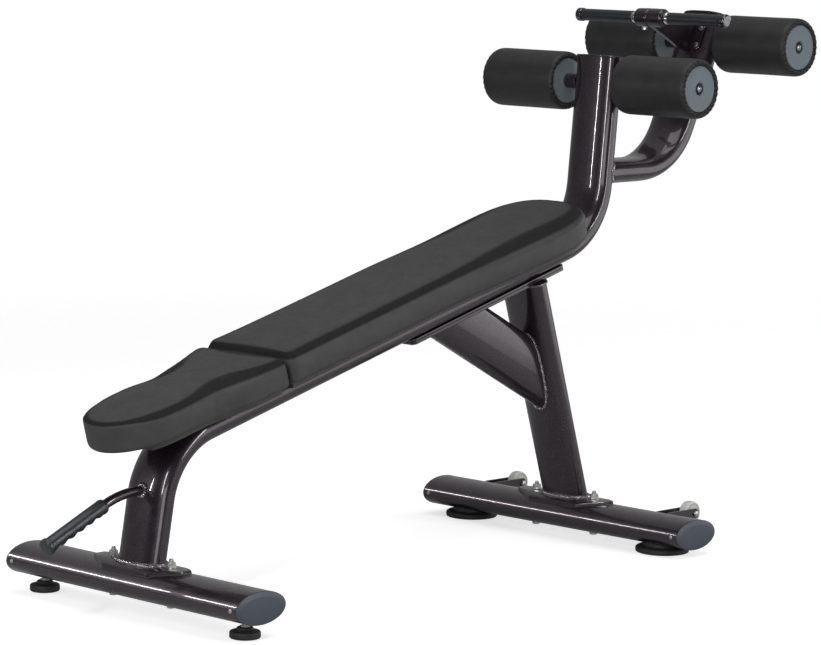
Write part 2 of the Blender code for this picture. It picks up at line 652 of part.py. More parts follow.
def make_pad(name, stations, half_width, edge, crown):
    """A pad as rings across the slope: a flat bottom, upright sides and a crowned top."""
    rings = []
    for along in stations:
        half = max(half_width(along), 0.012)
        across = [-0.94, -1.0, -1.0, -0.94, -0.7, -0.35, 0.0, 0.35, 0.7, 0.94, 1.0, 1.0, 0.94]
        rise = np.array([0.0, 0.12, 0.86, 1.0, 1.06, 1.1, 1.12, 1.1, 1.06, 1.0, 0.86, 0.12, 0.0])
        above = PAD_BOTTOM + rise * (edge - PAD_BOTTOM)
        above = np.minimum(above, crown)
        rings.append([on_slope(along, height, half * x) for x, height in zip(across, above)])
    return skin(name, rings, "pad_leather")


def make_board(name, stations, half_width):
    """The plywood board under a pad, narrower than the pad all round."""
    rings = []
    for along in stations:
        half = half_width(along) - 0.020
        corners = [(-half, BOARD_BOTTOM), (half, BOARD_BOTTOM), (half, BOARD_TOP), (-half, BOARD_TOP)]
        rings.append([on_slope(along, height, x) for x, height in corners])
    return skin(name, rings, "board_wood")


def make_upholstery():
    turn = np.linspace(0.0, math.pi / 2, 7)
    back = [BACK_PAD[0], BACK_PAD[0] + 0.010, 0.50, 0.72, 0.80, 0.87, 0.94]
    back += list(1.02 + (BACK_PAD[1] - 1.02 - 0.001) * np.sin(turn))
    make_pad("back_pad", back, back_pad_half_width, 0.0900, 0.0985)
    head = list(0.03 - (0.03 - HEAD_PAD[0] - 0.001) * np.sin(turn[::-1]))
    head += [0.09, 0.12, 0.15, 0.18, 0.22, HEAD_PAD[1] - 0.010, HEAD_PAD[1]]
    make_pad("head_pad", head, head_pad_half_width, 0.0890, 0.0960)
    make_board("back_pad_board", [BACK_PAD[0] + 0.010, 0.72, 0.87, 1.02, 1.10, 1.14], back_pad_half_width)
    make_board("head_pad_board", [-0.03, 0.02, 0.15, HEAD_PAD[1] - 0.010], head_pad_half_width)


def build():
    clear_scene()
    make_main_frame()
    make_arm()
    make_joint_plates()
    make_rear_leg()
    make_base("low", LOW_BASE, LOW_BASE_HALF_LENGTH, LOW_FOOT_X)
    make_base("rear", REAR_BASE, REAR_BASE_HALF_LENGTH, REAR_FOOT_X)
    make_foot_plate("low", LOW_BASE)
    make_foot_plate("rear", REAR_BASE)
    make_base_bolts("low", LOW_BASE)
    make_base_bolts("rear", REAR_BASE)
    make_feet()
    make_wheels()
    make_rollers()
    make_carry_handle()
    make_assist_handle()
    make_upholstery()


build()
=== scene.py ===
"""The looks of a decline sit-up bench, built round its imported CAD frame.

X runs across the bench, Y from the head end to the leg rollers, and the floor is Z = 0. A side-plane
point is a pair (y, z) in the plane X = 0.
"""

import math

import bmesh
import bpy
import numpy as np
from mathutils import Matrix, Vector


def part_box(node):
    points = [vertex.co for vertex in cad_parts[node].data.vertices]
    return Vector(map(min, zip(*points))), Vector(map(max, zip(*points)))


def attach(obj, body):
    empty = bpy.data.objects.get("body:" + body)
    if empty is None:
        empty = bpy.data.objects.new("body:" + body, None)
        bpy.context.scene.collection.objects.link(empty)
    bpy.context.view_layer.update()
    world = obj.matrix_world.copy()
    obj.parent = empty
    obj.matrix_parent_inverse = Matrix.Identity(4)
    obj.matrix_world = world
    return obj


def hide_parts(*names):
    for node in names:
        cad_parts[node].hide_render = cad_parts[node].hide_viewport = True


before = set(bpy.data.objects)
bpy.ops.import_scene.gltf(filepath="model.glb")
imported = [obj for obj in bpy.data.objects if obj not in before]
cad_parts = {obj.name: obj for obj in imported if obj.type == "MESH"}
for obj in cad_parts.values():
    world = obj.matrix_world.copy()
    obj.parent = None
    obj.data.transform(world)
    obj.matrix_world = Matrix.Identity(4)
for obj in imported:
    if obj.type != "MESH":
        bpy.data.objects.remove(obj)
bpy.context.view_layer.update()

TURN = 2.0 * math.pi
UP = np.array([0.0, 0.0, 1.0])
ACROSS = np.array([1.0, 0.0, 0.0])
LEVEL = (1.0, 0.0)                          # a level line of the side plane
SIDES = (("left", -1.0), ("right", 1.0))


def middle(node):
    low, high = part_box(node)
    return (np.array(low) + np.array(high)) / 2.0


# The bench's own lines, from the CAD nodes' boxes and the angles of its tubes
LOW_BASE = middle("low_base_tube")[1:]
REAR_BASE = middle("rear_base_tube")[1:]
FRONT_AXIS = middle("front_roller_left_foam")[1:]
REAR_AXIS = middle("rear_roller_left_foam")[1:]
BAR = middle("assist_bar")
FLAT_OVAL = (0.0530, 0.0245)                # half the width and half the depth of each tube
ARM_OVAL = (0.0515, 0.0245)
BRACE_OVAL = (0.0245, 0.0570)
BASE_OVAL = (0.0600, 0.0300)
OVAL_POWER = 2.7
BEND_RADIUS = 0.150
SLOPE = math.radians(15.0)
UPHILL = np.array([math.cos(SLOPE), math.sin(SLOPE)])
ABOVE = np.array([-math.sin(SLOPE), math.cos(SLOPE)])
INCLINE = np.array([LOW_BASE[0], 0.2950])
POST_TOP, ARM_LEVEL, ARM_TOP = 0.9770, 0.7430, 1.0540
PLATE_TOP = 0.0380                          # from a base tube's middle to the top of its foot plate
UNDER_PLATES = 0.0361                       # from the incline's centre line to the joint plate's lower face
PAD_BOTTOM = 0.0350
WELD_RADIUS, FINE_WELD_RADIUS, WELD_POINTS = 0.0034, 0.0026, 420
WASHER = 0.0016


def leaning(degrees):
    """The direction of a post that leans towards the rollers by that angle."""
    return np.array([math.sin(math.radians(degrees)), math.cos(math.radians(degrees))])


LOW_POST = leaning(9.8)
HIGH_POST = leaning(5.6)
REAR_LEG = leaning(-17.6)
ARM = leaning(25.0)


def meet(point, direction, other, other_direction):
    """Where two lines of the side plane cross."""
    sides = np.array([direction, -np.asarray(other_direction)]).T
    return np.asarray(point) + np.linalg.solve(sides, np.subtract(other, point))[0] * np.asarray(direction)


def at_height(point, direction, z):
    """Where a line of the side plane reaches a height."""
    return np.asarray(point) + (z - point[1]) / direction[1] * np.asarray(direction)


def on_slope(along, above, x=0.0):
    """The point of the bench at a distance up the incline, above its centre line and across it."""
    side = INCLINE + np.multiply.outer(along, UPHILL) + np.multiply.outer(above, ABOVE)
    return np.stack([np.broadcast_to(x, side[..., 0].shape), side[..., 0], side[..., 1]], axis=-1)


# Surfaces ----------------------------------------------------------------------------------------------


def into_mesh(name, points, faces, finish, sharp=32.0):
    """A mesh piece of those points and faces, smooth but for edges sharper than the given angle."""
    mesh = bpy.data.meshes.new(name)
    mesh.from_pydata(points, [], faces)
    shape = bmesh.new()
    shape.from_mesh(mesh)
    bmesh.ops.recalc_face_normals(shape, faces=shape.faces)
    shape.to_mesh(mesh)
    shape.free()
    mesh.shade_smooth()
    mesh.set_sharp_from_angle(angle=math.radians(sharp))
    mesh.materials.append(FINISHES[finish])
    piece = bpy.data.objects.new(name, mesh)
    bpy.context.scene.collection.objects.link(piece)
    return piece


def quads(rows, columns, wrap_rows):
    """Faces of a grid whose columns close on themselves, and whose rows do so too if told."""
    index = np.arange(rows * columns).reshape(rows, columns)
    if wrap_rows:
        index = np.concatenate([index, index[:1]])
    here, there = index[:-1], index[1:]
    faces = np.stack([here, np.roll(here, -1, 1), np.roll(there, -1, 1), there], axis=-1)
    return faces.reshape(-1, 4)


def surface(name, grid, finish, loop=False, sharp=32.0):
    """A closed body from a grid of rings. A loop joins its last ring to its first; otherwise each end
    ring is closed with a fan of triangles about its own middle."""
    rows, columns = grid.shape[:2]
    points = grid.reshape(-1, 3)
    faces = quads(rows, columns, loop).tolist()
    if not loop:
        points = np.concatenate([points, [grid[0].mean(0), grid[-1].mean(0)]])
        ring = np.arange(columns)
        following = np.roll(ring, -1)
        first = np.stack([following, ring, np.full(columns, rows * columns)], axis=1)
        last_ring = (rows - 1) * columns
        last = [last_ring + ring, last_ring + following, np.full(columns, rows * columns + 1)]
        faces += first.tolist() + np.stack(last, axis=1).tolist()
    return into_mesh(name, points, faces, finish, sharp)


def softened(outline, size, closed=False, steps=5):
    """An outline with each corner replaced by a short curve, the quadratic blend of the corner and the
    points that lie `size` before and after it. An open outline keeps its two ends."""
    corner = np.asarray(outline, float)
    ends = []
    for way in (1, -1):
        to = np.roll(corner, way, axis=0) - corner
        length = np.linalg.norm(to, axis=1, keepdims=True)
        ends.append(corner + to / length * np.minimum(size, 0.45 * length))
    t = np.linspace(0.0, 1.0, steps)[:, None]
    curve = (1 - t) ** 2 * ends[0][:, None] + 2 * t * (1 - t) * corner[:, None] + t**2 * ends[1][:, None]
    if closed:
        return curve.reshape(-1, 2)
    return np.concatenate([corner[:1], curve[1:-1].reshape(-1, 2), corner[-1:]])


def across_axis(axis):
    """Two directions square to an axis; the first is as near straight up as it can be."""
    axis = np.asarray(axis, float) / np.linalg.norm(axis)
    guide = UP if abs(axis[2]) < 0.9 else ACROSS
    first = guide - (guide @ axis) * axis
    first /= np.linalg.norm(first)
    return axis, first, np.cross(axis, first)


def turned_grid(outline, centre, axis, corners=96, radius=None):
    """Rings of a turned shape: outline lists (distance along the axis, radius). radius, if given, takes
    the rings' radii and the angles and returns the radius all over the grid."""
    axis, first, second = across_axis(axis)
    angle = np.linspace(0.0, TURN, corners, endpoint=False)
    along, size = np.asarray(outline, float).T
    size = size[:, None] * np.ones(corners) if radius is None else radius(size[:, None], angle[None])
    round_it = np.cos(angle)[:, None] * first + np.sin(angle)[:, None] * second
    return np.asarray(centre) + along[:, None, None] * axis + size[..., None] * round_it


def turned(name, outline, centre, axis, finish, soft=0.0008, bored=False, corners=96, radius=None):
    """A turned body with softened corners; a bored one has an outline that closes on itself."""
    outline = softened(outline, soft, closed=bored)
    return surface(name, turned_grid(outline, centre, axis, corners, radius), finish, loop=bored)


def hexagon(flat):
    """The radius of a hexagon bar whose corners are turned off: the lesser of the bar's and the cone's."""

    def radius(size, angle):
        bar = flat / np.cos((angle + TURN / 12) % (TURN / 6) - TURN / 12)
        return np.minimum(size, bar)

    return radius


def oval(size, count=128, power=OVAL_POWER, grow=0.0):
    """Points round a flat oval: |x/a|^power + |y/b|^power = 1, spaced by angle."""
    angle = np.linspace(0.0, TURN, count, endpoint=False)
    cosine, sine = np.cos(angle), np.sin(angle)
    x = np.sign(cosine) * np.abs(cosine) ** (2.0 / power)
    y = np.sign(sine) * np.abs(sine) ** (2.0 / power)
    return np.stack([(size[0] + grow) * x, (size[1] + grow) * y], axis=1)


def bent_path(corners, radius, steps=26, run=0.03):
    """Points and directions along straight runs with an arc of that radius at each corner. Straight runs
    get a station about every `run` metres."""
    corners = [np.asarray(corner, float) for corner in corners]
    ways = [after - before for before, after in zip(corners, corners[1:])]
    ways = [way / np.linalg.norm(way) for way in ways]
    points, directions = [corners[0][None]], [ways[0][None]]

    def straight(to, way):
        last = points[-1][-1]
        count = max(2, int(np.linalg.norm(to - last) / run))
        t = np.linspace(0.0, 1.0, count)[1:, None]
        points.append(last + t * (to - last))
        directions.append(np.repeat(way[None], count - 1, axis=0))

    for corner, way, following in zip(corners[1:], ways, ways[1:]):
        turn = math.atan2(way[0] * following[1] - way[1] * following[0], way @ following)
        normal = math.copysign(1.0, turn) * np.array([-way[1], way[0]])
        start = corner - radius * math.tan(abs(turn) / 2) * way
        straight(start, way)
        angle = np.linspace(0.0, abs(turn), steps)[1:, None]
        points.append(start + radius * normal + radius * (np.sin(angle) * way - np.cos(angle) * normal))
        directions.append(np.cos(angle) * way + np.sin(angle) * normal)
    straight(corners[-1], ways[-1])
    return np.concatenate(points), np.concatenate(directions)


def tube_grid(path, section, start=None, end=None):
    """A section carried along a side-plane path. start and end are planes (point, normal) that cut it."""
    points, directions = path
    normals = np.stack([-directions[:, 1], directions[:, 0]], axis=1)
    flat = points[:, None] + section[None, :, 1:] * normals[:, None]
    for place, plane in ((0, start), (-1, end)):
        if plane is not None:
            way = directions[place]
            reach = (np.asarray(plane[0]) - flat[place]) @ plane[1] / (way @ plane[1])
            flat[place] += reach[:, None] * way
    x = np.broadcast_to(section[:, 0], flat.shape[:2])
    return np.concatenate([x[..., None], flat], axis=-1)


def bead(name, line, outward, radius, pitch=0.0042):
    """A weld bead on a closed line: a round cord whose thickness swells and shrinks at each ripple."""
    ahead = np.roll(line, -1, axis=0) - np.roll(line, 1, axis=0)
    ahead /= np.linalg.norm(ahead, axis=1, keepdims=True)
    first = outward - np.sum(outward * ahead, axis=1, keepdims=True) * ahead
    first /= np.linalg.norm(first, axis=1, keepdims=True)
    second = np.cross(ahead, first)
    steps = np.linalg.norm(np.roll(line, -1, axis=0) - line, axis=1)
    run = np.concatenate([[0.0], np.cumsum(steps)[:-1]])
    ripples = max(1, round(steps.sum() / pitch))
    wave = np.abs(np.sin(math.pi * ripples * run / steps.sum()))
    drift = 0.25 * np.sin(TURN * 3 * run / steps.sum()) + 0.2 * np.sin(TURN * 7 * run / steps.sum() + 1.0)
    size = radius * (0.80 + 0.28 * wave + 0.18 * drift)
    angle = np.linspace(0.0, TURN, 12, endpoint=False)
    cosine, sine = np.cos(angle)[None, :, None], np.sin(angle)[None, :, None]
    round_it = cosine * first[:, None] + sine * second[:, None]
    return surface(name, line[:, None] + size[:, None, None] * round_it, "weld_paint", loop=True)


def resampled(line, count):
    """A closed line with its points spaced evenly along it."""
    closed = np.concatenate([line, line[:1]])
    run = np.concatenate([[0.0], np.cumsum(np.linalg.norm(np.diff(closed, axis=0), axis=1))])
    place = np.linspace(0.0, run[-1], count, endpoint=False)
    return np.stack([np.interp(place, run, closed[:, k]) for k in range(3)], axis=1)


def keep(piece, slot, *nodes, body="frame"):
    """Rides a finished piece on its body and stands it for its CAD nodes. The slot is not used."""
    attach(piece, body)
    if nodes:
        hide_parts(*nodes)
    return piece


# Finishes ----------------------------------------------------------------------------------------------

FINISHES = {}


class Finish:
    """A material under construction, with its shader and short ways to add nodes."""

    def __init__(self, name, colour, roughness, metallic=0.0, **sockets):
        self.material = bpy.data.materials.new(name)
        self.material.use_nodes = True
        self.tree = self.material.node_tree
        self.shader = self.tree.nodes["Principled BSDF"]
        self.coordinates = self.tree.nodes.new("ShaderNodeTexCoord").outputs["Object"]
        self.shader.inputs["Base Color"].default_value = (*colour, 1.0)
        self.shader.inputs["Roughness"].default_value = roughness
        self.shader.inputs["Metallic"].default_value = metallic
        for socket, value in sockets.items():
            self.shader.inputs[socket.replace("_", " ")].default_value = value
        self.normal = None
        FINISHES[name] = self.material

    def link(self, source, target):
        self.tree.links.new(source, target)

    def node(self, kind, **inputs):
        made = self.tree.nodes.new(kind)
        for socket, value in inputs.items():
            slot = made.inputs[socket.replace("_", " ")]
            if isinstance(value, bpy.types.NodeSocket):
                self.link(value, slot)
            else:
                slot.default_value = value
        return made

    def noise(self, scale, detail=3.0, where=None):
        """Soft patches, in object coordinates unless told where."""
        where = where or self.coordinates
        made = self.node("ShaderNodeTexNoise", Vector=where, Scale=scale, Detail=detail, Roughness=0.55)
        return made.outputs["Fac"]

    def cells(self, scale, feature="F1"):
        """A pattern of cells."""
        made = self.node("ShaderNodeTexVoronoi", Vector=self.coordinates, Scale=scale)
        made.feature = feature
        return made

    def spread(self, value, low, high, from_low=0.0, from_high=1.0):
        """A value spread from one range over another, and held at its ends."""
        made = self.node("ShaderNodeMapRange", Value=value, From_Min=from_low, From_Max=from_high)
        made.inputs["To Min"].default_value = low
        made.inputs["To Max"].default_value = high
        return made.outputs["Result"]

    def blend(self, share, first, second):
        """The first colour where share is 0, and the second where it is 1."""
        made = self.tree.nodes.new("ShaderNodeMix")
        made.data_type = "RGBA"
        sockets = {"Factor_Float": share, "A_Color": first, "B_Color": second}
        for slot in made.inputs:
            value = sockets.get(slot.identifier)
            if isinstance(value, bpy.types.NodeSocket):
                self.link(value, slot)
            elif value is not None:
                slot.default_value = value if isinstance(value, float) else (*value, 1.0)
        return next(out for out in made.outputs if out.identifier == "Result_Color")

    def maths(self, operation, first, second):
        made = self.tree.nodes.new("ShaderNodeMath")
        made.operation = operation
        for slot, value in zip(made.inputs, (first, second)):
            if isinstance(value, bpy.types.NodeSocket):
                self.link(value, slot)
            else:
                slot.default_value = value
        return made.outputs[0]

    def colour(self, source):
        self.link(source, self.shader.inputs["Base Color"])

    def roughness(self, source):
        self.link(source, self.shader.inputs["Roughness"])

    def bump(self, height, distance, strength):
        """Relief in the shading, laid over any that is there already."""
        made = self.node("ShaderNodeBump", Height=height, Distance=distance, Strength=strength)
        if self.normal is not None:
            self.link(self.normal, made.inputs["Normal"])
        self.normal = made.outputs["Normal"]
        self.link(self.normal, self.shader.inputs["Normal"])

    def attribute(self, name):
        made = self.tree.nodes.new("ShaderNodeAttribute")
        made.attribute_name = name
        return made.outputs["Fac"]


def make_paint():
    """Dark aubergine gloss over metallic flake: fine bright cells in a near-black ground."""
    paint = Finish("frame_paint", (0.02, 0.013, 0.018), 0.34, 0.55, Coat_Weight=0.9, Coat_Roughness=0.05)
    flake = paint.spread(paint.cells(1400.0).outputs["Color"], 0.0, 1.0, 0.80, 1.0)
    broad = paint.spread(paint.noise(9.0), 0.35, 0.75, 0.3, 0.7)
    ground = paint.blend(broad, (0.017, 0.010, 0.0155), (0.031, 0.021, 0.029))
    paint.colour(paint.blend(flake, ground, (0.19, 0.14, 0.19)))
    paint.roughness(paint.spread(paint.noise(60.0), 0.27, 0.40, 0.3, 0.7))
    paint.bump(paint.noise(420.0, 2.0), 0.00006, 0.5)


def make_weld_paint():
    """The same paint pooled over a rippled bead, where it shines more."""
    weld = Finish("weld_paint", (0.10, 0.085, 0.095), 0.24, 0.85, Coat_Weight=1.0, Coat_Roughness=0.04)
    pooled = weld.spread(weld.noise(300.0), 0.0, 1.0, 0.35, 0.65)
    weld.colour(weld.blend(pooled, (0.030, 0.022, 0.028), (0.40, 0.36, 0.39)))
    weld.bump(weld.noise(260.0, 3.0), 0.0006, 0.8)


def make_leather(name, colour, lighter, roughness, grain):
    """Synthetic leather: small raised cells with creases between them, over a softer mottle."""
    hide = Finish(name, colour, roughness, Specular_IOR_Level=0.30)
    pebbles = hide.cells(grain, "DISTANCE_TO_EDGE").outputs["Distance"]
    mottle = hide.spread(hide.noise(28.0, 4.0), 0.0, 1.0, 0.32, 0.68)
    wear = hide.spread(hide.noise(90.0), roughness - 0.05, roughness + 0.06, 0.3, 0.7)
    hide.roughness(wear)
    hide.bump(hide.spread(pebbles, 0.0, 1.0, 0.0, 0.12), 0.00012, 0.45)
    hide.bump(hide.noise(700.0, 2.0), 0.00008, 0.35)
    return hide, wear, hide.blend(mottle, colour, lighter)


def make_pad_leather():
    """The pads' leather, with painted shade over the band where it is drawn down over the rolled edge: its
    colour is darkened there, and it is rougher.
    """
    dark, light = (0.046, 0.046, 0.047), (0.056, 0.056, 0.057)
    hide, wear, skin = make_leather("pad_leather", dark, light, 0.56, 520.0)
    shade_band = hide.attribute("painted_shade_band")
    # Painted shade: over the band the leather's colour is drawn towards near-black (0.006), as if that edge
    # lay in shade.
    hide.colour(hide.blend(hide.maths("MULTIPLY", shade_band, 0.95), skin, (0.006, 0.006, 0.007)))
    hide.roughness(hide.maths("ADD", wear, hide.maths("MULTIPLY", shade_band, 0.25)))


def make_roller_leather():
    dark, light = (0.021, 0.021, 0.022), (0.027, 0.027, 0.028)
    hide, _, skin = make_leather("roller_leather", dark, light, 0.40, 620.0)
    hide.colour(skin)


def make_moulded_finishes():
    """Plastics and rubbers: a faint mottle of two shades under a fine moulded grain."""
    disc = Finish("disc_plastic", (0.205, 0.238, 0.272), 0.42)
    disc.colour(disc.blend(disc.noise(35.0), (0.190, 0.222, 0.254), (0.222, 0.256, 0.290)))
    disc.bump(disc.noise(900.0, 2.0), 0.00006, 0.4)

    cap = Finish("cap_plastic", (0.052, 0.062, 0.085), 0.42)
    cap.colour(cap.blend(cap.noise(30.0), (0.047, 0.056, 0.077), (0.058, 0.069, 0.093)))
    cap.bump(cap.noise(800.0, 2.0), 0.00008, 0.5)

    grip = Finish("grip_rubber", (0.018, 0.022, 0.027), 0.30)
    grip.colour(grip.blend(grip.noise(60.0), (0.015, 0.018, 0.022), (0.024, 0.029, 0.035)))
    grip.roughness(grip.spread(grip.noise(70.0), 0.26, 0.36, 0.3, 0.7))
    grip.bump(grip.noise(1100.0, 2.0), 0.00006, 0.4)

    foot = Finish("foot_rubber", (0.012, 0.012, 0.013), 0.62)
    foot.colour(foot.blend(foot.noise(45.0), (0.010, 0.010, 0.011), (0.022, 0.021, 0.021)))
    foot.bump(foot.noise(500.0), 0.00015, 0.5)

    wheel = Finish("wheel_plastic", (0.62, 0.64, 0.60), 0.32, Subsurface_Weight=0.15)
    wheel.colour(wheel.blend(wheel.noise(50.0), (0.56, 0.58, 0.54), (0.68, 0.70, 0.66)))
    wheel.bump(wheel.noise(500.0), 0.00005, 0.4)


def make_bare_metals():
    """Zinc plate and chrome, bright or dark, whose polish comes and goes in soft patches."""
    zinc = Finish("zinc_steel", (0.48, 0.48, 0.47), 0.26, 1.0)
    zinc.colour(zinc.blend(zinc.noise(160.0), (0.38, 0.38, 0.37), (0.60, 0.60, 0.59)))
    zinc.roughness(zinc.spread(zinc.noise(240.0), 0.22, 0.42, 0.3, 0.7))
    zinc.bump(zinc.noise(900.0), 0.00004, 0.5)

    chrome = Finish("chrome", (0.82, 0.83, 0.85), 0.08, 1.0)
    chrome.roughness(chrome.spread(chrome.noise(120.0), 0.05, 0.13, 0.3, 0.7))

    dark = Finish("dark_chrome", (0.16, 0.16, 0.17), 0.18, 1.0)
    dark.colour(dark.blend(dark.noise(90.0), (0.11, 0.11, 0.12), (0.20, 0.20, 0.21)))
    dark.roughness(dark.spread(dark.noise(120.0), 0.14, 0.26, 0.3, 0.7))


def make_board_finish():
    """Stained plywood: plies that alternate through the board's thickness, and long grain on its faces."""
    board = Finish("board_wood", (0.05, 0.045, 0.044), 0.6)
    turn = board.node("ShaderNodeMapping", Vector=board.coordinates)
    turn.inputs["Rotation"].default_value = (-SLOPE, 0.0, 0.0)
    level = turn.outputs["Vector"]
    plies = board.node("ShaderNodeTexWave", Vector=level, Scale=95.0, Distortion=0.6, Detail_Scale=3.0)
    plies.bands_direction = "Z"
    stretch = board.node("ShaderNodeMapping", Vector=level)
    stretch.inputs["Scale"].default_value = (40.0, 3.0, 40.0)
    grain = board.noise(3.0, 5.0, where=stretch.outputs["Vector"])
    edge = board.blend(plies.outputs["Fac"], (0.036, 0.032, 0.031), (0.062, 0.055, 0.053))
    board.colour(board.blend(board.maths("MULTIPLY", grain, 0.35), edge, (0.022, 0.019, 0.019)))
    board.bump(grain, 0.0002, 0.4)


make_paint()
make_weld_paint()
make_pad_leather()
make_roller_leather()
make_moulded_finishes()
make_bare_metals()
make_board_finish()


# Frame -------------------------------------------------------------------------------------------------


def plane_level(z):
    """A level plane, as a point of the side plane and a normal."""
    return (np.array([0.0, z]), np.array([0.0, 1.0]))


UNDER = INCLINE - UNDER_PLATES * ABOVE
LOW_FOOT = np.array([LOW_BASE[0], LOW_BASE[1] + PLATE_TOP])
REAR_FOOT = np.array([REAR_BASE[0], REAR_BASE[1] + PLATE_TOP])
SUNK = 0.004                                # how far a post's end goes into its foot plate


def make_main_frame():
    """The low post, the incline and the upper post: one flat-oval tube with two bends."""
    top = at_height(FRONT_AXIS, HIGH_POST, POST_TOP)
    foot = LOW_FOOT - SUNK * LOW_POST / LOW_POST[1]
    low_corner = meet(LOW_FOOT, LOW_POST, INCLINE, UPHILL)
    high_corner = meet(INCLINE, UPHILL, FRONT_AXIS, HIGH_POST)
    path = bent_path([foot, low_corner, high_corner, top], BEND_RADIUS)
    grid = tube_grid(path, oval(FLAT_OVAL), start=plane_level(foot[1]))
    keep(surface("main_frame_tube_fine", grid, "frame_paint"), "frame_paint", "main_frame_tube")
    end_plate("post_top_cap", top, HIGH_POST)


def end_plate(node, top, way):
    """The plate welded on a tube's top end, a little larger than the tube, with a rolled edge."""
    inset, overhang = -0.0120, 0.0022
    profile = [(-0.0006, inset), (-0.0006, overhang), (0.0036, overhang), (0.0044, inset)]
    profile = softened(profile, 0.0016, steps=7)
    normal = np.array([-way[1], way[0]])
    rings = []
    for along, grow in profile:
        section = oval(FLAT_OVAL, grow=grow)
        side = top + along * way + section[:, 1:] * normal
        rings.append(np.concatenate([section[:, :1], side], axis=1))
    keep(surface(f"{node}_fine", np.array(rings), "frame_paint"), "frame_paint", node)


def make_arm():
    """The arm leaves the upper post level and bends up to the rear rollers."""
    corner = meet((0.0, ARM_LEVEL), LEVEL, REAR_AXIS, ARM)
    start = meet(FRONT_AXIS, HIGH_POST, (0.0, ARM_LEVEL), LEVEL)
    top = at_height(REAR_AXIS, ARM, ARM_TOP)
    grid = tube_grid(bent_path([start, corner, top], BEND_RADIUS), oval(ARM_OVAL))
    keep(surface("rear_arm_tube_fine", grid, "frame_paint"), "frame_paint", "rear_arm_tube")
    end_plate("arm_top_cap", top, ARM)
    outline = oval(ARM_OVAL, 240, grow=0.0012)
    weld_on_tube("arm_weld", outline, np.array(LEVEL), start, FRONT_AXIS, HIGH_POST, -1.0)


def face_depth(x, size):
    """Half the depth of a flat oval at a distance x from its middle."""
    return size[1] * np.maximum(0.0, 1.0 - np.abs(x / size[0]) ** OVAL_POWER) ** (1.0 / OVAL_POWER)


def weld_on_tube(name, outline, way, start, other, other_way, which, radius=WELD_RADIUS):
    """The bead where a tube's outline runs into another flat-oval tube, of centre line (other, other_way).
    which is 1 or -1, for the face on the side of that line's normal or on the far side."""
    normal = np.array([-other_way[1], other_way[0]])
    across = np.array([-way[1], way[0]])
    base = start + outline[:, 1:] * across
    x = np.clip(outline[:, 0], -FLAT_OVAL[0] + 0.0008, FLAT_OVAL[0] - 0.0008)
    reach = ((np.asarray(other) - base) @ normal + which * face_depth(x, FLAT_OVAL)) / (way @ normal)
    side = base + reach[:, None] * way
    line = resampled(np.concatenate([x[:, None], side], axis=1), WELD_POINTS)
    keep(bead(name, line, line - line.mean(0), radius), "frame_paint")


def weld_on_plane(name, outline, point, way, plane, radius):
    """The bead where a tube's outline stands on a flat face."""
    across = np.array([-way[1], way[0]])
    base = point + outline[:, 1:] * across
    reach = (plane[0] - base) @ plane[1] / (way @ plane[1])
    side = base + reach[:, None] * way
    line = resampled(np.concatenate([outline[:, :1], side], axis=1), WELD_POINTS)
    keep(bead(name, line, line - line.mean(0), radius), "frame_paint")


def make_rear_leg():
    """The rear leg, and the brace that runs down to it from the joint plate."""
    under = (UNDER, ABOVE)
    top = meet(REAR_FOOT, REAR_LEG, UNDER, UPHILL)
    foot = REAR_FOOT - SUNK * REAR_LEG / REAR_LEG[1]
    path = bent_path([foot, top], 0.0)
    grid = tube_grid(path, oval(FLAT_OVAL), plane_level(foot[1]), under)
    keep(surface("rear_leg_tube_fine", grid, "frame_paint"), "frame_paint", "rear_leg_tube")
    way = leaning(90.0 + 27.9)
    through = np.array([0.9 + LOW_BASE[0], 0.4285])
    start = meet(through, way, UNDER, UPHILL)
    end = meet(through, way, REAR_FOOT, REAR_LEG)
    leg_middle = (REAR_FOOT, np.array([REAR_LEG[1], -REAR_LEG[0]]))
    grid = tube_grid(bent_path([start, end], 0.0), oval(BRACE_OVAL), start=under, end=leg_middle)
    keep(surface("brace_tube_fine", grid, "frame_paint"), "frame_paint", "brace_tube")
    outline = oval(BRACE_OVAL, 240, grow=0.0012)
    weld_on_tube("brace_weld", outline, way, start, REAR_FOOT, REAR_LEG, 1.0)
    leg_outline = oval(FLAT_OVAL, 240, grow=0.001)
    weld_on_plane("leg_top_weld", leg_outline, top, REAR_LEG, under, FINE_WELD_RADIUS)
    weld_on_plane("brace_top_weld", outline, start, way, under, FINE_WELD_RADIUS)


def rounded_slab(name, outline, half_width, finish, soft, edge):
    """A plate across the bench: a side-plane outline carried across it, drawn in a little at each face."""
    outline = softened(outline, soft, closed=True)
    centre = outline.mean(0)
    away = outline - centre
    away /= np.linalg.norm(away, axis=1, keepdims=True)
    near = half_width - edge
    steps = np.array([(-half_width, edge), (-near, 0.0), (near, 0.0), (half_width, edge)])
    side = outline[None] - steps[:, 1][:, None, None] * away[None]
    x = np.broadcast_to(steps[:, :1], side.shape[:2])
    return surface(name, np.concatenate([x[..., None], side], axis=-1), finish)


def make_joint_plates():
    """The mounting plate and the joint plate under the incline, each with cut corners and eased edges."""
    start, end, cut = 0.6800, 1.1350, 0.0060
    for node, below, thick in (("mounting_plate", 0.0003, 0.0050), ("joint_plate", 0.0056, 0.0060)):
        top = -FLAT_OVAL[1] - below
        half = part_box(node)[1][0]
        plan = [(start, cut - half), (start, half - cut), (start + cut, half), (end - cut, half)]
        plan += [(end, half - cut), (end, cut - half), (end - cut, -half), (start + cut, -half)]
        plan = softened(plan, 0.003, closed=True)
        steps = softened([(top, 0.0014), (top, 0.0), (top - thick, 0.0), (top - thick, 0.0014)], 0.0008)
        middle_of_plan = plan.mean(0)
        scale = 1.0 - steps[:, 1][:, None, None] / half * np.array([half / (end - start) * 2, 1.0])
        drawn = middle_of_plan + (plan - middle_of_plan) * scale
        grid = on_slope(drawn[..., 0], np.broadcast_to(steps[:, :1], drawn.shape[:2]), drawn[..., 1])
        keep(surface(f"{node}_fine", grid, "frame_paint"), "frame_paint", node)


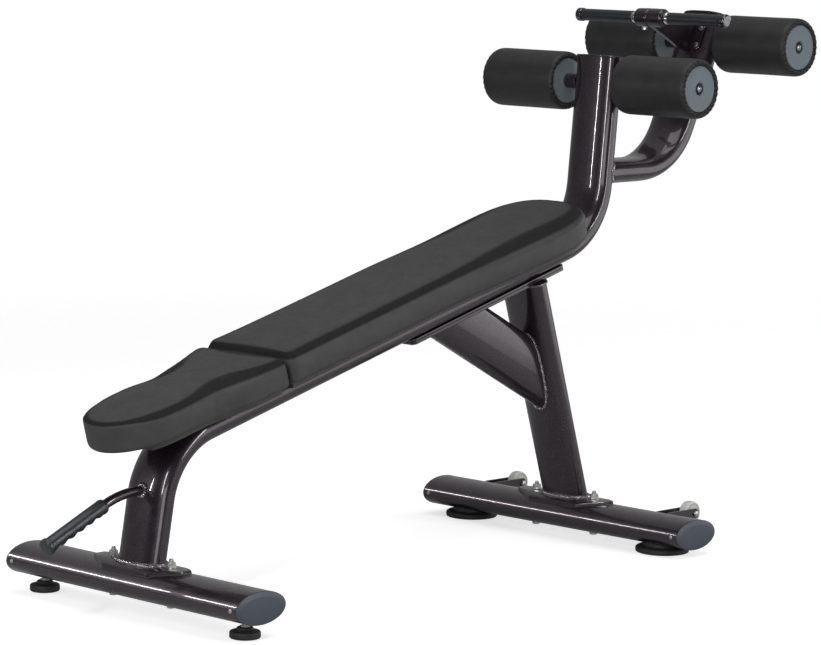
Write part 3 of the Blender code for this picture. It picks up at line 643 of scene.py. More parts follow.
def hex_bolt(name, node, seat, axis, flat, head, thread=0.0):
    """A hexagon head or nut on a washer, and the end of the bolt if it stands out. flat is half the width
    across flats, and head and thread are heights above the seat."""
    washer = [(0.0, flat * 0.3), (0.0, flat * 1.42), (WASHER, flat * 1.42), (WASHER, flat * 0.3)]
    keep(turned(f"{name}_washer", washer, seat, axis, "zinc_steel", 0.0004), "zinc_steel")
    body = [(WASHER, flat * 0.4), (WASHER, flat * 1.00), (0.0022, flat * 1.16), (head - 0.0010, flat * 1.16)]
    body += [(head, flat * 0.92), (head, flat * 0.5)]
    piece = turned(name, body, seat, axis, "zinc_steel", 0.0003, radius=hexagon(flat))
    keep(piece, "zinc_steel", *node)
    if thread:
        stud = [(head - 0.002, flat * 0.30), (head - 0.002, flat * 0.58)]
        stud += [(thread - 0.0012, flat * 0.56), (thread, flat * 0.36)]
        keep(turned(f"{name}_end", stud, seat, axis, "zinc_steel", 0.0005, corners=48), "zinc_steel")


def make_joint_bolts():
    """The heads of the two bolts that clamp the joint plate to the mounting plate."""
    normal = np.array([0.0, *ABOVE])
    for node, along in (("joint_bolt_low", 0.7270), ("joint_bolt_high", 0.9680)):
        seat = on_slope(along, -UNDER_PLATES - 0.0001)
        hex_bolt(f"{node}_fine", [node], seat, -normal, 0.0068, 0.0088)


# Bases -------------------------------------------------------------------------------------------------


def base_grid(base, stations):
    """Rings of an elliptical tube across the bench: stations lists (x, how much larger the ellipse is)."""
    angle = np.linspace(0.0, TURN, 160, endpoint=False)
    x, grow = np.asarray(stations, float).T
    y = base[0] + (BASE_OVAL[0] + grow)[:, None] * np.cos(angle)
    z = base[1] + (BASE_OVAL[1] + grow)[:, None] * np.sin(angle)
    return np.stack([np.broadcast_to(x[:, None], y.shape), y, z], axis=-1)


def make_base(label, base):
    """A base tube, its two end caps, which bulge a little, and the screw that holds each cap."""
    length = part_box(f"{label}_base_cap_right")[1][0]
    end = length - 0.0060
    stations = [(x, 0.0) for x in np.linspace(-end, end, 24)]
    piece = surface(f"{label}_base_tube_fine", base_grid(base, stations), "frame_paint")
    keep(piece, "frame_paint", f"{label}_base_tube")
    for name, way in SIDES:
        edge = [(end - 0.0020, -0.0040), (end + 0.0003, -0.0040), (end + 0.0003, 0.0)]
        edge += [(end + 0.0030, 0.0003), (length - 0.0022, -0.0022), (length - 0.0006, -0.0090)]
        edge += [(length, -0.0240)]
        edge = softened(edge, 0.0014, steps=6)
        edge[:, 0] *= way
        piece = surface(f"{label}_base_cap_{name}_fine", base_grid(base, edge), "cap_plastic")
        keep(piece, "cap_plastic", f"{label}_base_cap_{name}")
        seat = np.array([way * (end - 0.0130), base[0] - BASE_OVAL[0] + 0.0003, base[1] + 0.0010])
        screw = [(0.0, 0.0010), (0.0, 0.0042), (0.0014, 0.0036), (0.0022, 0.0016)]
        screw = turned(f"{label}_cap_screw_{name}", screw, seat, (0, -1, 0), "zinc_steel", corners=32)
        keep(screw, "zinc_steel")


def plate_height(base, rise, y):
    """The height of a base tube's upper side, grown all round to `rise` above its middle, at distance y:
    z = rise * sqrt(1 - (y / (half width + rise - half height))^2)."""
    return base[1] + rise * np.sqrt(1.0 - (y / (BASE_OVAL[0] + rise - BASE_OVAL[1])) ** 2)


def make_foot_plate(label, base):
    """A hexagonal plate pressed over the base tube: its width tapers to each tip, its underside follows
    the tube, and its top is flat in the middle."""
    shoulder, tip, wide = 0.0620, 0.1200, 0.0440
    waist = np.linspace(-shoulder, shoulder, 16)[1:-1]
    x = np.concatenate([np.linspace(-tip, -shoulder, 24), waist, np.linspace(shoulder, tip, 24)])
    half = wide * np.interp(np.abs(x), [shoulder, tip], [1.0, 0.25])
    inset = 0.0014 * np.clip((np.abs(x) - tip + 0.0012) / 0.0012, 0.0, 1.0)
    ease = np.array([0.0, 0.0005, 0.0012, 0.0022])
    edge = np.concatenate([1.0 - ease / 0.03, np.linspace(0.86, -0.86, 21), -1.0 + ease[::-1] / 0.03])
    drop = np.concatenate([ease[::-1], np.zeros(21), ease])
    y_top = half[:, None] * edge[None]
    level = plate_height(base, PLATE_TOP, 0.40 * wide)
    top = np.minimum(plate_height(base, PLATE_TOP, y_top), level) - drop[None] - inset[:, None]
    y_low = half[:, None] * np.linspace(-1.0, 1.0, 25)[None]
    low = plate_height(base, BASE_OVAL[1] + 0.0004, y_low)
    y = np.concatenate([y_top, y_low], axis=1) + base[0]
    z = np.concatenate([top, low], axis=1)
    grid = np.stack([np.broadcast_to(x[:, None], y.shape), y, z], axis=-1)
    piece = surface(f"{label}_foot_plate_fine", grid, "frame_paint", sharp=40.0)
    keep(piece, "frame_paint", f"{label}_foot_plate")
    way, point = (LOW_POST, LOW_FOOT) if label == "low" else (REAR_LEG, REAR_FOOT)
    outline = oval(FLAT_OVAL, 240, grow=0.0014)
    weld_on_plane(f"{label}_post_weld", outline, point, way, plane_level(level - 0.0006), 0.0056)
    for name, side in SIDES:
        bolt = f"{label}_base_bolt_{name}"
        nut_seat = np.array([side * 0.0780, base[0], level + 0.0002])
        hex_bolt(f"{bolt}_nut", [bolt], nut_seat, UP, 0.0076, 0.0102, 0.0165)
        head_seat = np.array([side * 0.0780, base[0], base[1] - BASE_OVAL[1] + 0.0010])
        hex_bolt(f"{bolt}_head", [], head_seat, -UP, 0.0070, 0.0075)


def make_feet():
    """Levelling feet are moulded bells on a screw; the rear feet are broad pads that rise to the tube."""
    bell = [(0.0004, 0.0100), (0.0, 0.0255), (0.0016, 0.0280), (0.0112, 0.0280), (0.0132, 0.0262)]
    bell += [(0.0142, 0.0200), (0.0160, 0.0160), (0.0205, 0.0140), (0.0205, 0.0045)]
    for name, way in SIDES:
        node = f"levelling_foot_{name}"
        centre = np.array([way * 0.2710, LOW_BASE[0], 0.0])
        piece = turned(f"{node}_fine", bell, centre, UP, "foot_rubber", 0.0022)
        keep(piece, "foot_rubber", node, body=node)
        lock = [(0.0200, 0.0040), (0.0200, 0.0092), (0.0228, 0.0092), (0.0228, 0.0040)]
        nut = turned(f"{node}_nut", lock, centre, UP, "zinc_steel", 0.0004, radius=hexagon(0.0080))
        keep(nut, "zinc_steel", body=node)
        stud = [(0.0180, 0.0030), (0.0180, 0.0050), (0.0560, 0.0050), (0.0560, 0.0030)]
        stud = turned(f"{node}_stud", stud, centre, UP, "zinc_steel", 0.0006, corners=48)
        keep(stud, "zinc_steel", body=node)
        node = f"rear_foot_{name}"
        centre = np.array([way * 0.2600, REAR_BASE[0], 0.0])
        piece = surface(f"{node}_fine", rear_foot_grid(centre), "foot_rubber")
        keep(piece, "foot_rubber", node)


def rear_foot_grid(centre):
    """Rings of a rear foot: a thick rim, a sloping shoulder, and a neck whose top follows the tube."""
    rim = [(0.0300, 0.0), (0.0525, 0.0), (0.0540, 0.0020), (0.0540, 0.0092), (0.0500, 0.0120)]
    rim += [(0.0390, 0.0130)]
    rim = softened(rim, 0.0018)
    angle = np.linspace(0.0, TURN, 128, endpoint=False)
    flat = rim[:, :1, None] * np.stack([np.cos(angle), np.sin(angle)], axis=1)
    grid = np.concatenate([flat, np.broadcast_to(rim[:, 1][:, None, None], (len(rim), 128, 1))], axis=-1)
    radius = np.linspace(0.0385, 0.0040, 8)
    y = radius[:, None] * np.sin(angle)
    hug = REAR_BASE[1] - BASE_OVAL[1] * np.sqrt(1.0 - (y / BASE_OVAL[0]) ** 2) - 0.0006
    neck = np.stack([radius[:, None] * np.cos(angle), y, hug], axis=-1)
    return np.concatenate([grid, neck]) + centre


def make_wheels():
    """Each transport wheel has a hub, a thinner web and a rim; its pin stands out of the fork's plates."""
    tread = [(-0.0100, 0.0048), (-0.0100, 0.0100), (-0.0082, 0.0112), (-0.0082, 0.0185), (-0.0100, 0.0196)]
    tread += [(-0.0096, 0.0225), (-0.0060, 0.0240)]
    tread += [(-along, size) for along, size in tread[::-1]]
    axle = [(0.0160, 0.0020), (0.0160, 0.0066), (0.0195, 0.0060), (0.0208, 0.0030)]
    for name, _ in SIDES:
        node = f"transport_wheel_{name}"
        centre = middle(node)
        wheel = turned(f"{node}_fine", tread, centre, ACROSS, "wheel_plastic", 0.0012, bored=True)
        keep(wheel, "wheel_plastic", node, body=f"wheel_{name}")
        for end, out in (("inner", -1.0), ("outer", 1.0)):
            pin = f"wheel_axle_{name}_{end}"
            pin = turned(pin, axle, centre, out * ACROSS, "zinc_steel", 0.0010, corners=48)
            keep(pin, "zinc_steel", *([f"wheel_axle_{name}"] if end == "inner" else []))
        make_fork(name, centre)


def make_fork(name, wheel):
    """Two plates welded to the back of the tube, round at the axle end, with the wheel between them."""
    nose_radius, gap, apart = 0.0105, 0.0004, 0.0139
    angle = np.linspace(-0.5 * math.pi, 0.5 * math.pi, 25)
    nose = wheel[1:] + nose_radius * np.stack([np.cos(angle), np.sin(angle)], axis=1)
    climb = np.linspace(1.12, 0.05, 14)
    round_tube = np.stack([np.cos(climb), np.sin(climb)], axis=1)
    back = REAR_BASE + (np.array(BASE_OVAL) + gap) * round_tube
    outline = np.concatenate([nose, back])
    for end, x in (("inner", wheel[0] - apart), ("outer", wheel[0] + apart)):
        plate = rounded_slab(f"wheel_fork_{name}_{end}", outline, 0.0020, "frame_paint", 0.0008, 0.0005)
        plate.data.transform(Matrix.Translation((x, 0.0, 0.0)))
        keep(plate, "frame_paint", *([f"wheel_fork_{name}"] if end == "inner" else []))


# Leg rollers -------------------------------------------------------------------------------------------

ROLLER_INNER, ROLLER_OUTER, ROLLER_RADIUS = 0.0810, 0.2662, 0.0600
ROLLER_LENGTH = ROLLER_OUTER - ROLLER_INNER
DISC_RADIUS, DISC_THICKNESS, SLEEVE = 0.0460, 0.0060, 0.0160


def cover_grid(inner_end, way, seed):
    """The leatherette over a roller's foam: a cylinder with rolled edges whose ends are gathered. The
    gathers push each end face in and out as a pleated wave round the axle, strongest beside the disc."""
    draws = np.random.default_rng(seed)
    end = [(0.0010, 0.0465), (-0.0018, 0.0480), (-0.0038, 0.0506), (-0.0036, 0.0538), (-0.0010, 0.0572)]
    end = softened([*end, (0.0036, 0.0592), (0.0110, ROLLER_RADIUS)], 0.0020, steps=4)
    rings = 40
    stations = np.linspace(0.016, ROLLER_LENGTH - 0.016, rings)
    barrel = np.stack([stations, np.full(rings, ROLLER_RADIUS)], axis=1)
    far = end[::-1] * [-1, 1] + [ROLLER_LENGTH, 0]
    recess, disc_hole, sleeve_hole = 0.0063, 0.0468, SLEEVE + 0.0003
    bore = [(ROLLER_LENGTH - recess, disc_hole), (ROLLER_LENGTH - recess, sleeve_hole)]
    bore += [(recess, sleeve_hole), (recess, disc_hole)]
    profile = np.concatenate([end, barrel, far, bore])
    count, pleats = 288, 30
    angle = np.linspace(0.0, TURN, count, endpoint=False)
    grid = turned_grid(profile, inner_end, way * ACROSS, count)
    axis, first, second = across_axis(way * ACROSS)
    phase = sum(0.35 / k * np.sin(k * angle + draws.uniform(0, TURN)) for k in (2, 3, 5, 9))
    fold = np.abs(np.sin(0.5 * pleats * angle + phase)) ** 0.7
    deep = 1.0 + 0.35 * np.sin(7 * angle + draws.uniform(0, TURN))
    size = profile[:, 1]
    on_end = np.concatenate([np.ones(len(end)), np.zeros(rings), -np.ones(len(end)), np.zeros(len(bore))])
    strength = np.clip((0.0585 - size) / 0.0085, 0.0, 1.0) ** 0.7
    shift = on_end[:, None] * strength[:, None] * (0.0042 * (1.0 - fold) * deep)[None]
    grid = grid + shift[..., None] * axis
    soft = 0.00035 * np.sin(3 * angle + draws.uniform(0, TURN))
    soft = soft + 0.00025 * np.sin(5 * angle + draws.uniform(0, TURN))
    along = np.clip(profile[:, 0] / ROLLER_LENGTH, 0.0, 1.0)
    swell = (size > 0.0585)[:, None] * np.sin(math.pi * along)[:, None] * soft[None]
    round_it = np.cos(angle)[:, None] * first + np.sin(angle)[:, None] * second
    return grid - np.abs(swell)[..., None] * round_it


def make_roller(row, name, way, seed, place):
    """A roller's cover, its hub with a disc at each end, and the washer and bolt on the axle's end."""
    body = f"{row}_roller_{name}"
    inner = np.array([way * ROLLER_INNER, *place])
    cover = surface(f"{body}_cover", cover_grid(inner, way, seed), "roller_leather", loop=True, sharp=60.0)
    keep(cover, "roller_leather", f"{body}_foam", body=body)
    length, disc, rim = ROLLER_LENGTH, DISC_THICKNESS, DISC_RADIUS
    near = [(0.0, 0.0106), (0.0, 0.0200), (0.0006, 0.0215), (0.0004, rim - 0.0040), (0.0, rim - 0.0030)]
    near += [(0.0006, rim), (disc, rim), (disc, SLEEVE)]
    far = [(length - disc, SLEEVE), (length - disc, rim), (length - 0.0006, rim), (length, rim - 0.0030)]
    far += [(length - 0.0005, rim - 0.0050), (length - 0.0002, 0.0180), (length, 0.0135)]
    far += [(length - 0.0045, 0.0130), (length - 0.0045, 0.0106)]
    out = way * ACROSS
    hub = turned(f"{body}_hub_fine", near + far, inner, out, "disc_plastic", 0.0010, bored=True, corners=128)
    keep(hub, "disc_plastic", f"{body}_hub", body=body)
    seat = np.array([way * (ROLLER_INNER + length - 0.0043), *place])
    washer = [(0.0, 0.0030), (0.0, 0.0118), (0.0013, 0.0118), (0.0013, 0.0030)]
    washer = turned(f"{body}_end_washer", washer, seat, out, "dark_chrome", 0.0004, corners=64)
    keep(washer, "zinc_steel")
    bolt = [(0.0013, 0.0030), (0.0013, 0.0064), (0.0034, 0.0060), (0.0050, 0.0034)]
    bolt = turned(f"{body}_end_bolt_fine", bolt, seat, out, "zinc_steel", 0.0009, corners=64)
    keep(bolt, "zinc_steel", f"{body}_end_bolt")


def make_rollers():
    """Two fixed axles, each with a spacer and a roller on either side of its post."""
    spindle = [(-0.2610, 0.0030), (-0.2610, 0.0100), (0.2610, 0.0100), (0.2610, 0.0030)]
    spacer = [(0.0500, 0.0090), (0.0500, 0.0172), (0.0545, 0.0172), (0.0560, 0.0150), (0.0800, 0.0150)]
    spacer += [(0.0800, 0.0090)]
    for seed, (row, place) in enumerate((("front", FRONT_AXIS), ("rear", REAR_AXIS))):
        centre = (0.0, *place)
        axle = turned(f"{row}_roller_axle_fine", spindle, centre, ACROSS, "zinc_steel", corners=48)
        keep(axle, "zinc_steel", f"{row}_roller_axle")
        for name, way in SIDES:
            sleeve = turned(f"{row}_spacer_{name}", spacer, centre, way * ACROSS, "frame_paint", corners=64)
            keep(sleeve, "frame_paint")
            make_roller(row, name, way, 10 * seed + int(way) + 2, place)


# Handles -----------------------------------------------------------------------------------------------


CARRY_LEVEL, CARRY_RADIUS = 0.2265, 0.0090


def make_carry_handle():
    """A round tube that leaves the low post level and bends down, and the grip that ends it. The grip's
    underside waves in and out along it, by a cosine of the distance, for the fingers."""
    way = leaning(180.0 + 66.0)
    corner = np.array([LOW_BASE[0] - 0.0548, CARRY_LEVEL])
    start = meet(LOW_FOOT, LOW_POST, (0.0, CARRY_LEVEL), LEVEL)
    path = bent_path([start, corner, corner + 0.1845 * way], 0.185)
    grid = tube_grid(path, oval((CARRY_RADIUS, CARRY_RADIUS), 64, power=2.0))
    keep(surface("carry_handle_tube_fine", grid, "frame_paint"), "frame_paint", "carry_handle_tube")
    outline = oval((CARRY_RADIUS + 0.0008, CARRY_RADIUS + 0.0008), 96, power=2.0)
    weld_on_tube("carry_handle_weld", outline, -np.array(LEVEL), start, LOW_FOOT, LOW_POST, 1.0, 0.0048)
    low, high, hollow = 0.0410, 0.1900, 0.0235
    along = np.concatenate([[low, low + 0.0006, low + 0.002], np.linspace(low + 0.004, high - 0.0115, 90)])
    size = np.interp(along, [low, low + 0.0006, low + 0.004], [0.0105, 0.0126, 0.0140])
    collar = [(high - 0.0105, 0.0142), (high - 0.0088, 0.0163), (high - 0.0020, 0.0163), (high, 0.0146)]
    collar = softened([*collar, (high + 0.0004, 0.0060)], 0.001)
    profile = np.concatenate([np.stack([along, size], axis=1), collar])
    along = profile[:, 0]
    wave = 0.5 - 0.5 * np.cos(TURN * (along - low - 0.0190) / hollow)
    held = np.clip((along - low - 0.010) / 0.006, 0, 1) * np.clip((high - 0.016 - along) / 0.006, 0, 1)

    def radius(size, angle):
        below = np.clip(-np.cos(angle), 0.0, 1.0) ** 1.2
        return size - (0.0036 * wave * held)[:, None] * below

    grid = turned_grid(profile, (0.0, *corner), np.array([0.0, *way]), radius=radius)
    keep(surface("carry_handle_grip_fine", grid, "grip_rubber"), "grip_rubber", "carry_handle_grip")


def make_assist_handle():
    """A chrome bar in a collar, with a ribbed grip and a plug on each end of it."""
    bar = [(-0.1950, 0.0040), (-0.1950, 0.0095), (0.1950, 0.0095), (0.1950, 0.0040)]
    keep(turned("assist_bar_fine", bar, BAR, ACROSS, "chrome"), "chrome", "assist_bar")
    collar = [(-0.0380, 0.0098), (-0.0380, 0.0150), (-0.0330, 0.0190), (-0.0040, 0.0195), (-0.0025, 0.0180)]
    collar += [(-0.0010, 0.0180), (0.0005, 0.0195), (0.0330, 0.0192), (0.0380, 0.0150), (0.0380, 0.0098)]
    piece = turned("assist_bar_collar_fine", collar, BAR, ACROSS, "frame_paint", 0.0016, bored=True)
    keep(piece, "frame_paint", "assist_bar_collar")
    ring = [(0.0385, 0.0097), (0.0385, 0.0120), (0.0400, 0.0128), (0.0450, 0.0128), (0.0465, 0.0120)]
    ring += [(0.0465, 0.0097)]
    along = np.linspace(0.0530, 0.1810, 46)
    ribs = 0.0124 + 0.00022 * np.cos(TURN * (along - along[0]) / (along[2] - along[0]))
    grip = [(0.0480, 0.0098), (0.0480, 0.0112), (0.0496, 0.0124), *zip(along, ribs)]
    grip = np.array([*grip, (0.1830, 0.0124), (0.1838, 0.0112), (0.1838, 0.0098)])
    plug = [(0.1845, 0.0098), (0.1845, 0.0126), (0.1862, 0.0140), (0.1975, 0.0140), (0.1996, 0.0118)]
    plug += [(0.2000, 0.0050)]
    for name, way in SIDES:
        out = way * ACROSS
        keep(turned(f"bar_ring_{name}", ring, BAR, out, "chrome", 0.0010, bored=True), "chrome")
        piece = surface(f"bar_grip_{name}_fine", turned_grid(grip, BAR, out), "grip_rubber", loop=True)
        keep(piece, "grip_rubber", f"bar_grip_{name}")
        piece = turned(f"bar_end_plug_{name}_fine", plug, BAR, out, "dark_chrome", 0.0014)
        keep(piece, "chrome", f"bar_end_plug_{name}")
    seat = BAR + np.array([-0.0180, 0.0, -0.0192])
    hex_bolt("collar_set_bolt_fine", ["collar_set_bolt"], seat, -UP, 0.0048, 0.0066)
    make_bracket()


def make_bracket():
    """The plate from the back of the collar down to the front of the arm, and its small bolted foot."""
    out = np.array([-ARM[1], ARM[0]])
    face = (ARM_OVAL[1] + 0.0004) * out
    upper = at_height(REAR_AXIS, ARM, 1.0340) + face
    lower = at_height(REAR_AXIS, ARM, 0.9700) + face
    angle = np.linspace(math.radians(-82), math.radians(22), 16)
    arc = BAR[1:] + 0.0197 * np.stack([np.cos(angle), np.sin(angle)], axis=1)
    outline = np.concatenate([[upper, lower, [1.4900 + LOW_BASE[0], 0.9930]], arc])
    piece = rounded_slab("assist_handle_bracket_fine", outline, 0.0060, "frame_paint", 0.0010, 0.0010)
    keep(piece, "frame_paint", "assist_handle_bracket")
    for label, z in (("high", 1.0190), ("low", 0.9850)):
        for name, side in SIDES:
            seat = np.array([side * 0.0200, *(at_height(REAR_AXIS, ARM, z) + face)])
            hex_bolt(f"bracket_bolt_{label}_{name}", [], seat, np.array([0.0, *out]), 0.0046, 0.0060)
    make_bracket_foot(at_height(REAR_AXIS, ARM, 1.0020) + face, out)


def make_bracket_foot(centre, out):
    """A small plate with round corners on the arm's front, its rings drawn in towards its outer face."""
    long, wide = 0.0260, 0.0290
    plan = softened([(-long, -wide), (-long, wide), (long, wide), (long, -wide)], 0.006, closed=True)
    rise = np.array([(-0.0010, 0.0), (0.0026, 0.0), (0.0036, 0.0010)])
    scale = 1.0 - rise[:, 1][:, None] / long
    x = plan[:, 1][None] * scale
    side = centre + (plan[:, :1] * ARM)[None] * scale[..., None] + rise[:, 0][:, None, None] * out
    grid = np.concatenate([x[..., None], side], axis=-1)
    keep(surface("bracket_foot", grid, "frame_paint"), "frame_paint")


# Upholstery --------------------------------------------------------------------------------------------


def smooth(value):
    """An S-shaped rise from 0 at value 0 to 1 at value 1: 3v^2 - 2v^3."""
    value = np.clip(value, 0.0, 1.0)
    return value * value * (3.0 - 2.0 * value)


def back_pad_half(along):
    """Half the back pad's width: a straight waist that swells towards the high end, which is round."""
    half = 0.1180 + 0.0190 * smooth((along - 0.72) / 0.30)
    rounding = np.clip((along - 1.02) / 0.17, 0.0, 1.0)
    return half * (1.0 - rounding**2.4) ** (1.0 / 2.4)


def head_pad_half(along):
    """Half the head pad's width: a neck that swells to the back pad's, and a nearly half-round head end."""
    rounding = np.clip((0.03 - along) / 0.129, 0.0, 1.0)
    return (0.0970 + 0.0210 * smooth((along - 0.09) / 0.13)) * np.sqrt(1.0 - rounding**2.1)


def hill(value):
    """One smooth hill: 1 at value 0, falling to 0 at -1 and at 1."""
    return np.cos(0.5 * math.pi * np.clip(value, -1.0, 1.0)) ** 2


PADS = {
    "back_pad": {"half": back_pad_half, "ends": (0.2870, 1.1900), "edge": 0.0790, "crown": 0.0975,
                 "corners": (0.014, 0.0), "wide_band": (0.985, 0.270), "columns": 440},
    "head_pad": {"half": head_pad_half, "ends": (-0.0990, 0.2815), "edge": 0.0780, "crown": 0.0950,
                 "corners": (0.0, 0.014), "wide_band": (0.165, 0.120), "columns": 220},
}
UNDER_ROWS, WALL_ROWS, BAND_ROWS, TOP_ROWS = 9, 10, 7, 12
SEAM_ROW = UNDER_ROWS + WALL_ROWS
LEVEL_ROW = SEAM_ROW + BAND_ROWS
SWELL_ROOM, SWELL_MOST, SWELL_FRAMES = 0.0008, 0.0045, 20


def pad_outline(facts, inset):
    """The pad's outline seen square on, as (distance up the slope, across), evenly spaced, `inset` inside
    the pad. The right side goes from the low end to the high end and the left side comes back."""
    low, high = facts["ends"]
    t = 0.5 - 0.5 * np.cos(np.linspace(0.0, math.pi, 1500))
    along = low + (high - low) * t
    half = facts["half"](along)
    for distance, radius in ((along - low, facts["corners"][0]), (high - along, facts["corners"][1])):
        if radius:
            into = np.clip(radius - distance, 0.0, radius)
            half = half - radius + np.sqrt(radius**2 - into**2)
    right = np.stack([along, half], axis=1)
    right = np.concatenate([[[low, 0.0]], right, [[high, 0.0]]])
    middle_line = np.stack([np.clip(right[:, 0], low + 0.09, high - 0.09), np.zeros(len(right))], axis=1)
    toward = middle_line - right
    toward /= np.maximum(np.linalg.norm(toward, axis=1, keepdims=True), 1e-9)
    right = right + inset * toward
    run = np.concatenate([[0.0], np.cumsum(np.linalg.norm(np.diff(right, axis=0), axis=1))])
    place = np.linspace(0.0, run[-1], facts["columns"] // 2 + 1)
    right = np.stack([np.interp(place, run, right[:, k]) for k in (0, 1)], axis=1)
    right[[0, -1], 1] = 0.0
    return np.concatenate([right, right[-2:0:-1] * [1, -1]])


def pad_grid(facts, inset):
    """Rows of a pad, from the middle of its underside out to the outline, up the wall to the seam, in over
    the rolled band to the level top, and in again to the middle line. A row is the outline drawn towards
    the middle line. The band is widest where the pad swells."""
    outline = pad_outline(facts, inset)
    low, high = facts["ends"]
    centre, reach = facts["wide_band"]
    inward = 0.016 + 0.036 * hill((outline[:, 0] - centre) / reach)
    spine = np.stack([np.clip(outline[:, 0], low + 0.095, high - 0.095), np.zeros(len(outline))], axis=1)
    at_nose = smooth((-0.01 - outline[:, 0]) / 0.07)
    distance = np.linalg.norm(outline - spine, axis=1)
    at_level = 1.0 - (inward - 0.006 * at_nose) / distance
    crown, bottom = facts["crown"] - inset, PAD_BOTTOM + inset
    edge = facts["edge"] - inset + 0.0085 * at_nose
    share, height = [], []
    for t in np.linspace(0.0, 1.0, UNDER_ROWS):
        share.append(np.full(len(outline), 0.97 * t))
        height.append(np.full(len(outline), bottom))
    for t in np.linspace(0.0, 1.0, WALL_ROWS + 1)[1:]:
        share.append(np.full(len(outline), 1.0))
        height.append(bottom + 0.003 + t * (edge - bottom - 0.003))
    for t in np.linspace(0.0, 1.0, BAND_ROWS + 1)[1:]:
        share.append(1.0 - (1.0 - at_level) * t)
        height.append(edge + (crown - edge) * math.sin(0.5 * math.pi * t) ** 0.9)
    for t in np.linspace(0.0, 1.0, TOP_ROWS + 1)[1:]:
        share.append(at_level * (1.0 - t))
        height.append(np.full(len(outline), crown + 0.0008 * math.sin(0.5 * math.pi * t)))
    share = np.array(share)[..., None]
    flat = spine + share * (outline - spine)
    return on_slope(flat[..., 0], np.array(height), flat[..., 1])


def pad_mesh(name, facts, inset):
    """The rows joined into one closed skin, whose two ends are sewn shut along the middle line."""
    grid = pad_grid(facts, inset)
    rows, columns = grid.shape[:2]
    mesh = bpy.data.meshes.new(name)
    mesh.from_pydata(grid.reshape(-1, 3), [], quads(rows, columns, False).tolist())
    row = mesh.attributes.new("row", "FLOAT", "POINT")
    row.data.foreach_set("value", np.repeat(np.arange(rows, dtype=np.float32), columns))
    shape = bmesh.new()
    shape.from_mesh(mesh)
    bmesh.ops.remove_doubles(shape, verts=shape.verts, dist=2e-5)
    bmesh.ops.dissolve_degenerate(shape, edges=shape.edges, dist=1e-6)
    bmesh.ops.recalc_face_normals(shape, faces=shape.faces)
    shape.to_mesh(mesh)
    shape.free()
    mesh.materials.append(FINISHES["pad_leather"])
    piece = bpy.data.objects.new(name, mesh)
    bpy.context.scene.collection.objects.link(piece)
    return piece


def numbers(mesh, name):
    """An attribute of the points, as an array."""
    values = np.empty(len(mesh.vertices), np.float32)
    mesh.attributes[name].data.foreach_get("value", values)
    return values


def places(mesh):
    """The points' places, as an array."""
    values = np.empty(len(mesh.vertices) * 3)
    mesh.vertices.foreach_get("co", values)
    return values.reshape(-1, 3)


def swell_by_cloth(piece, cap):
    """Fills the cover as a cloth bag under pressure, held along its underside, its seam and, more loosely,
    the edge of its level top. No point moves further than the cap."""
    row = numbers(piece.data, "row")
    held = piece.vertex_groups.new(name="held")
    for index in np.flatnonzero((row < UNDER_ROWS + 1) | (row == SEAM_ROW)).tolist():
        held.add([index], 1.0, "REPLACE")
    for index in np.flatnonzero(row == LEVEL_ROW).tolist():
        held.add([index], 0.6, "REPLACE")
    start = places(piece.data)
    cloth = piece.modifiers.new("cloth", "CLOTH")
    settings = cloth.settings
    settings.quality = 5
    settings.use_pressure = True
    settings.uniform_pressure_force = 4.0
    settings.effector_weights.gravity = 0.0
    settings.vertex_group_mass = "held"
    cloth.collision_settings.use_collision = False
    cloth.point_cache.frame_start = 1
    cloth.point_cache.frame_end = SWELL_FRAMES
    for step in range(1, SWELL_FRAMES + 1):
        bpy.context.scene.frame_set(step)
    bpy.context.view_layer.objects.active = piece
    bpy.ops.object.modifier_apply(modifier=cloth.name)
    shift = places(piece.data) - start
    length = np.linalg.norm(shift, axis=1, keepdims=True)
    shift *= np.minimum(1.0, cap / np.maximum(length, 1e-9))
    piece.data.vertices.foreach_set("co", (start + shift).ravel())
    piece.vertex_groups.clear()
    bpy.context.scene.frame_set(1)


def finish_pad(piece, facts):
    """Raises a welt along the seam, keeps the underside level, and marks the band over the rolled edge,
    where the leather gets painted shade and more roughness.
    """
    mesh = piece.data
    row = numbers(mesh, "row")
    points = places(mesh)
    side = points[:, 1:] - INCLINE
    along, above, x = side @ UPHILL, side @ ABOVE, points[:, 0]
    low, high = facts["ends"]
    spine = np.clip(along, low + 0.095, high - 0.095)
    out = np.stack([along - spine, x], axis=1)
    out /= np.maximum(np.linalg.norm(out, axis=1, keepdims=True), 1e-6)
    welt = 0.0007 * hill(row - SEAM_ROW)
    along, x = along + welt * out[:, 0], x + welt * out[:, 1]
    above = np.clip(above, PAD_BOTTOM, facts["crown"] + 0.0040)
    along = np.clip(along, low - 0.0005, high + 0.0010)
    mesh.vertices.foreach_set("co", on_slope(along, above, x).ravel())
    # The band's weight, which the leather uses for painted shade in its colour and for extra roughness.
    band = smooth((row - SEAM_ROW) / 0.9) * smooth((LEVEL_ROW + 0.4 - row) / 2.8)
    shade_band = mesh.attributes.new("painted_shade_band", "FLOAT", "POINT")
    shade_band.data.foreach_set("value", band.astype(np.float32))
    ends = np.empty(len(mesh.edges) * 2, np.int32)
    mesh.edges.foreach_get("vertices", ends)
    on_seam = (row[ends.reshape(-1, 2)] == SEAM_ROW).all(axis=1)
    crease = mesh.attributes.new("crease_edge", "FLOAT", "EDGE")
    crease.data.foreach_set("value", np.where(on_seam, 0.55, 0.0).astype(np.float32))
    mesh.shade_smooth()
    finer = piece.modifiers.new("finer", "SUBSURF")
    finer.levels = finer.render_levels = 1


def make_pads():
    """A pad is modelled a little small, swollen as cloth, and then given its seam and one subdivision."""
    for node, facts in PADS.items():
        piece = pad_mesh(f"{node}_cover", facts, SWELL_ROOM)
        swell_by_cloth(piece, SWELL_MOST)
        finish_pad(piece, facts)
        keep(piece, "pad_leather", node)


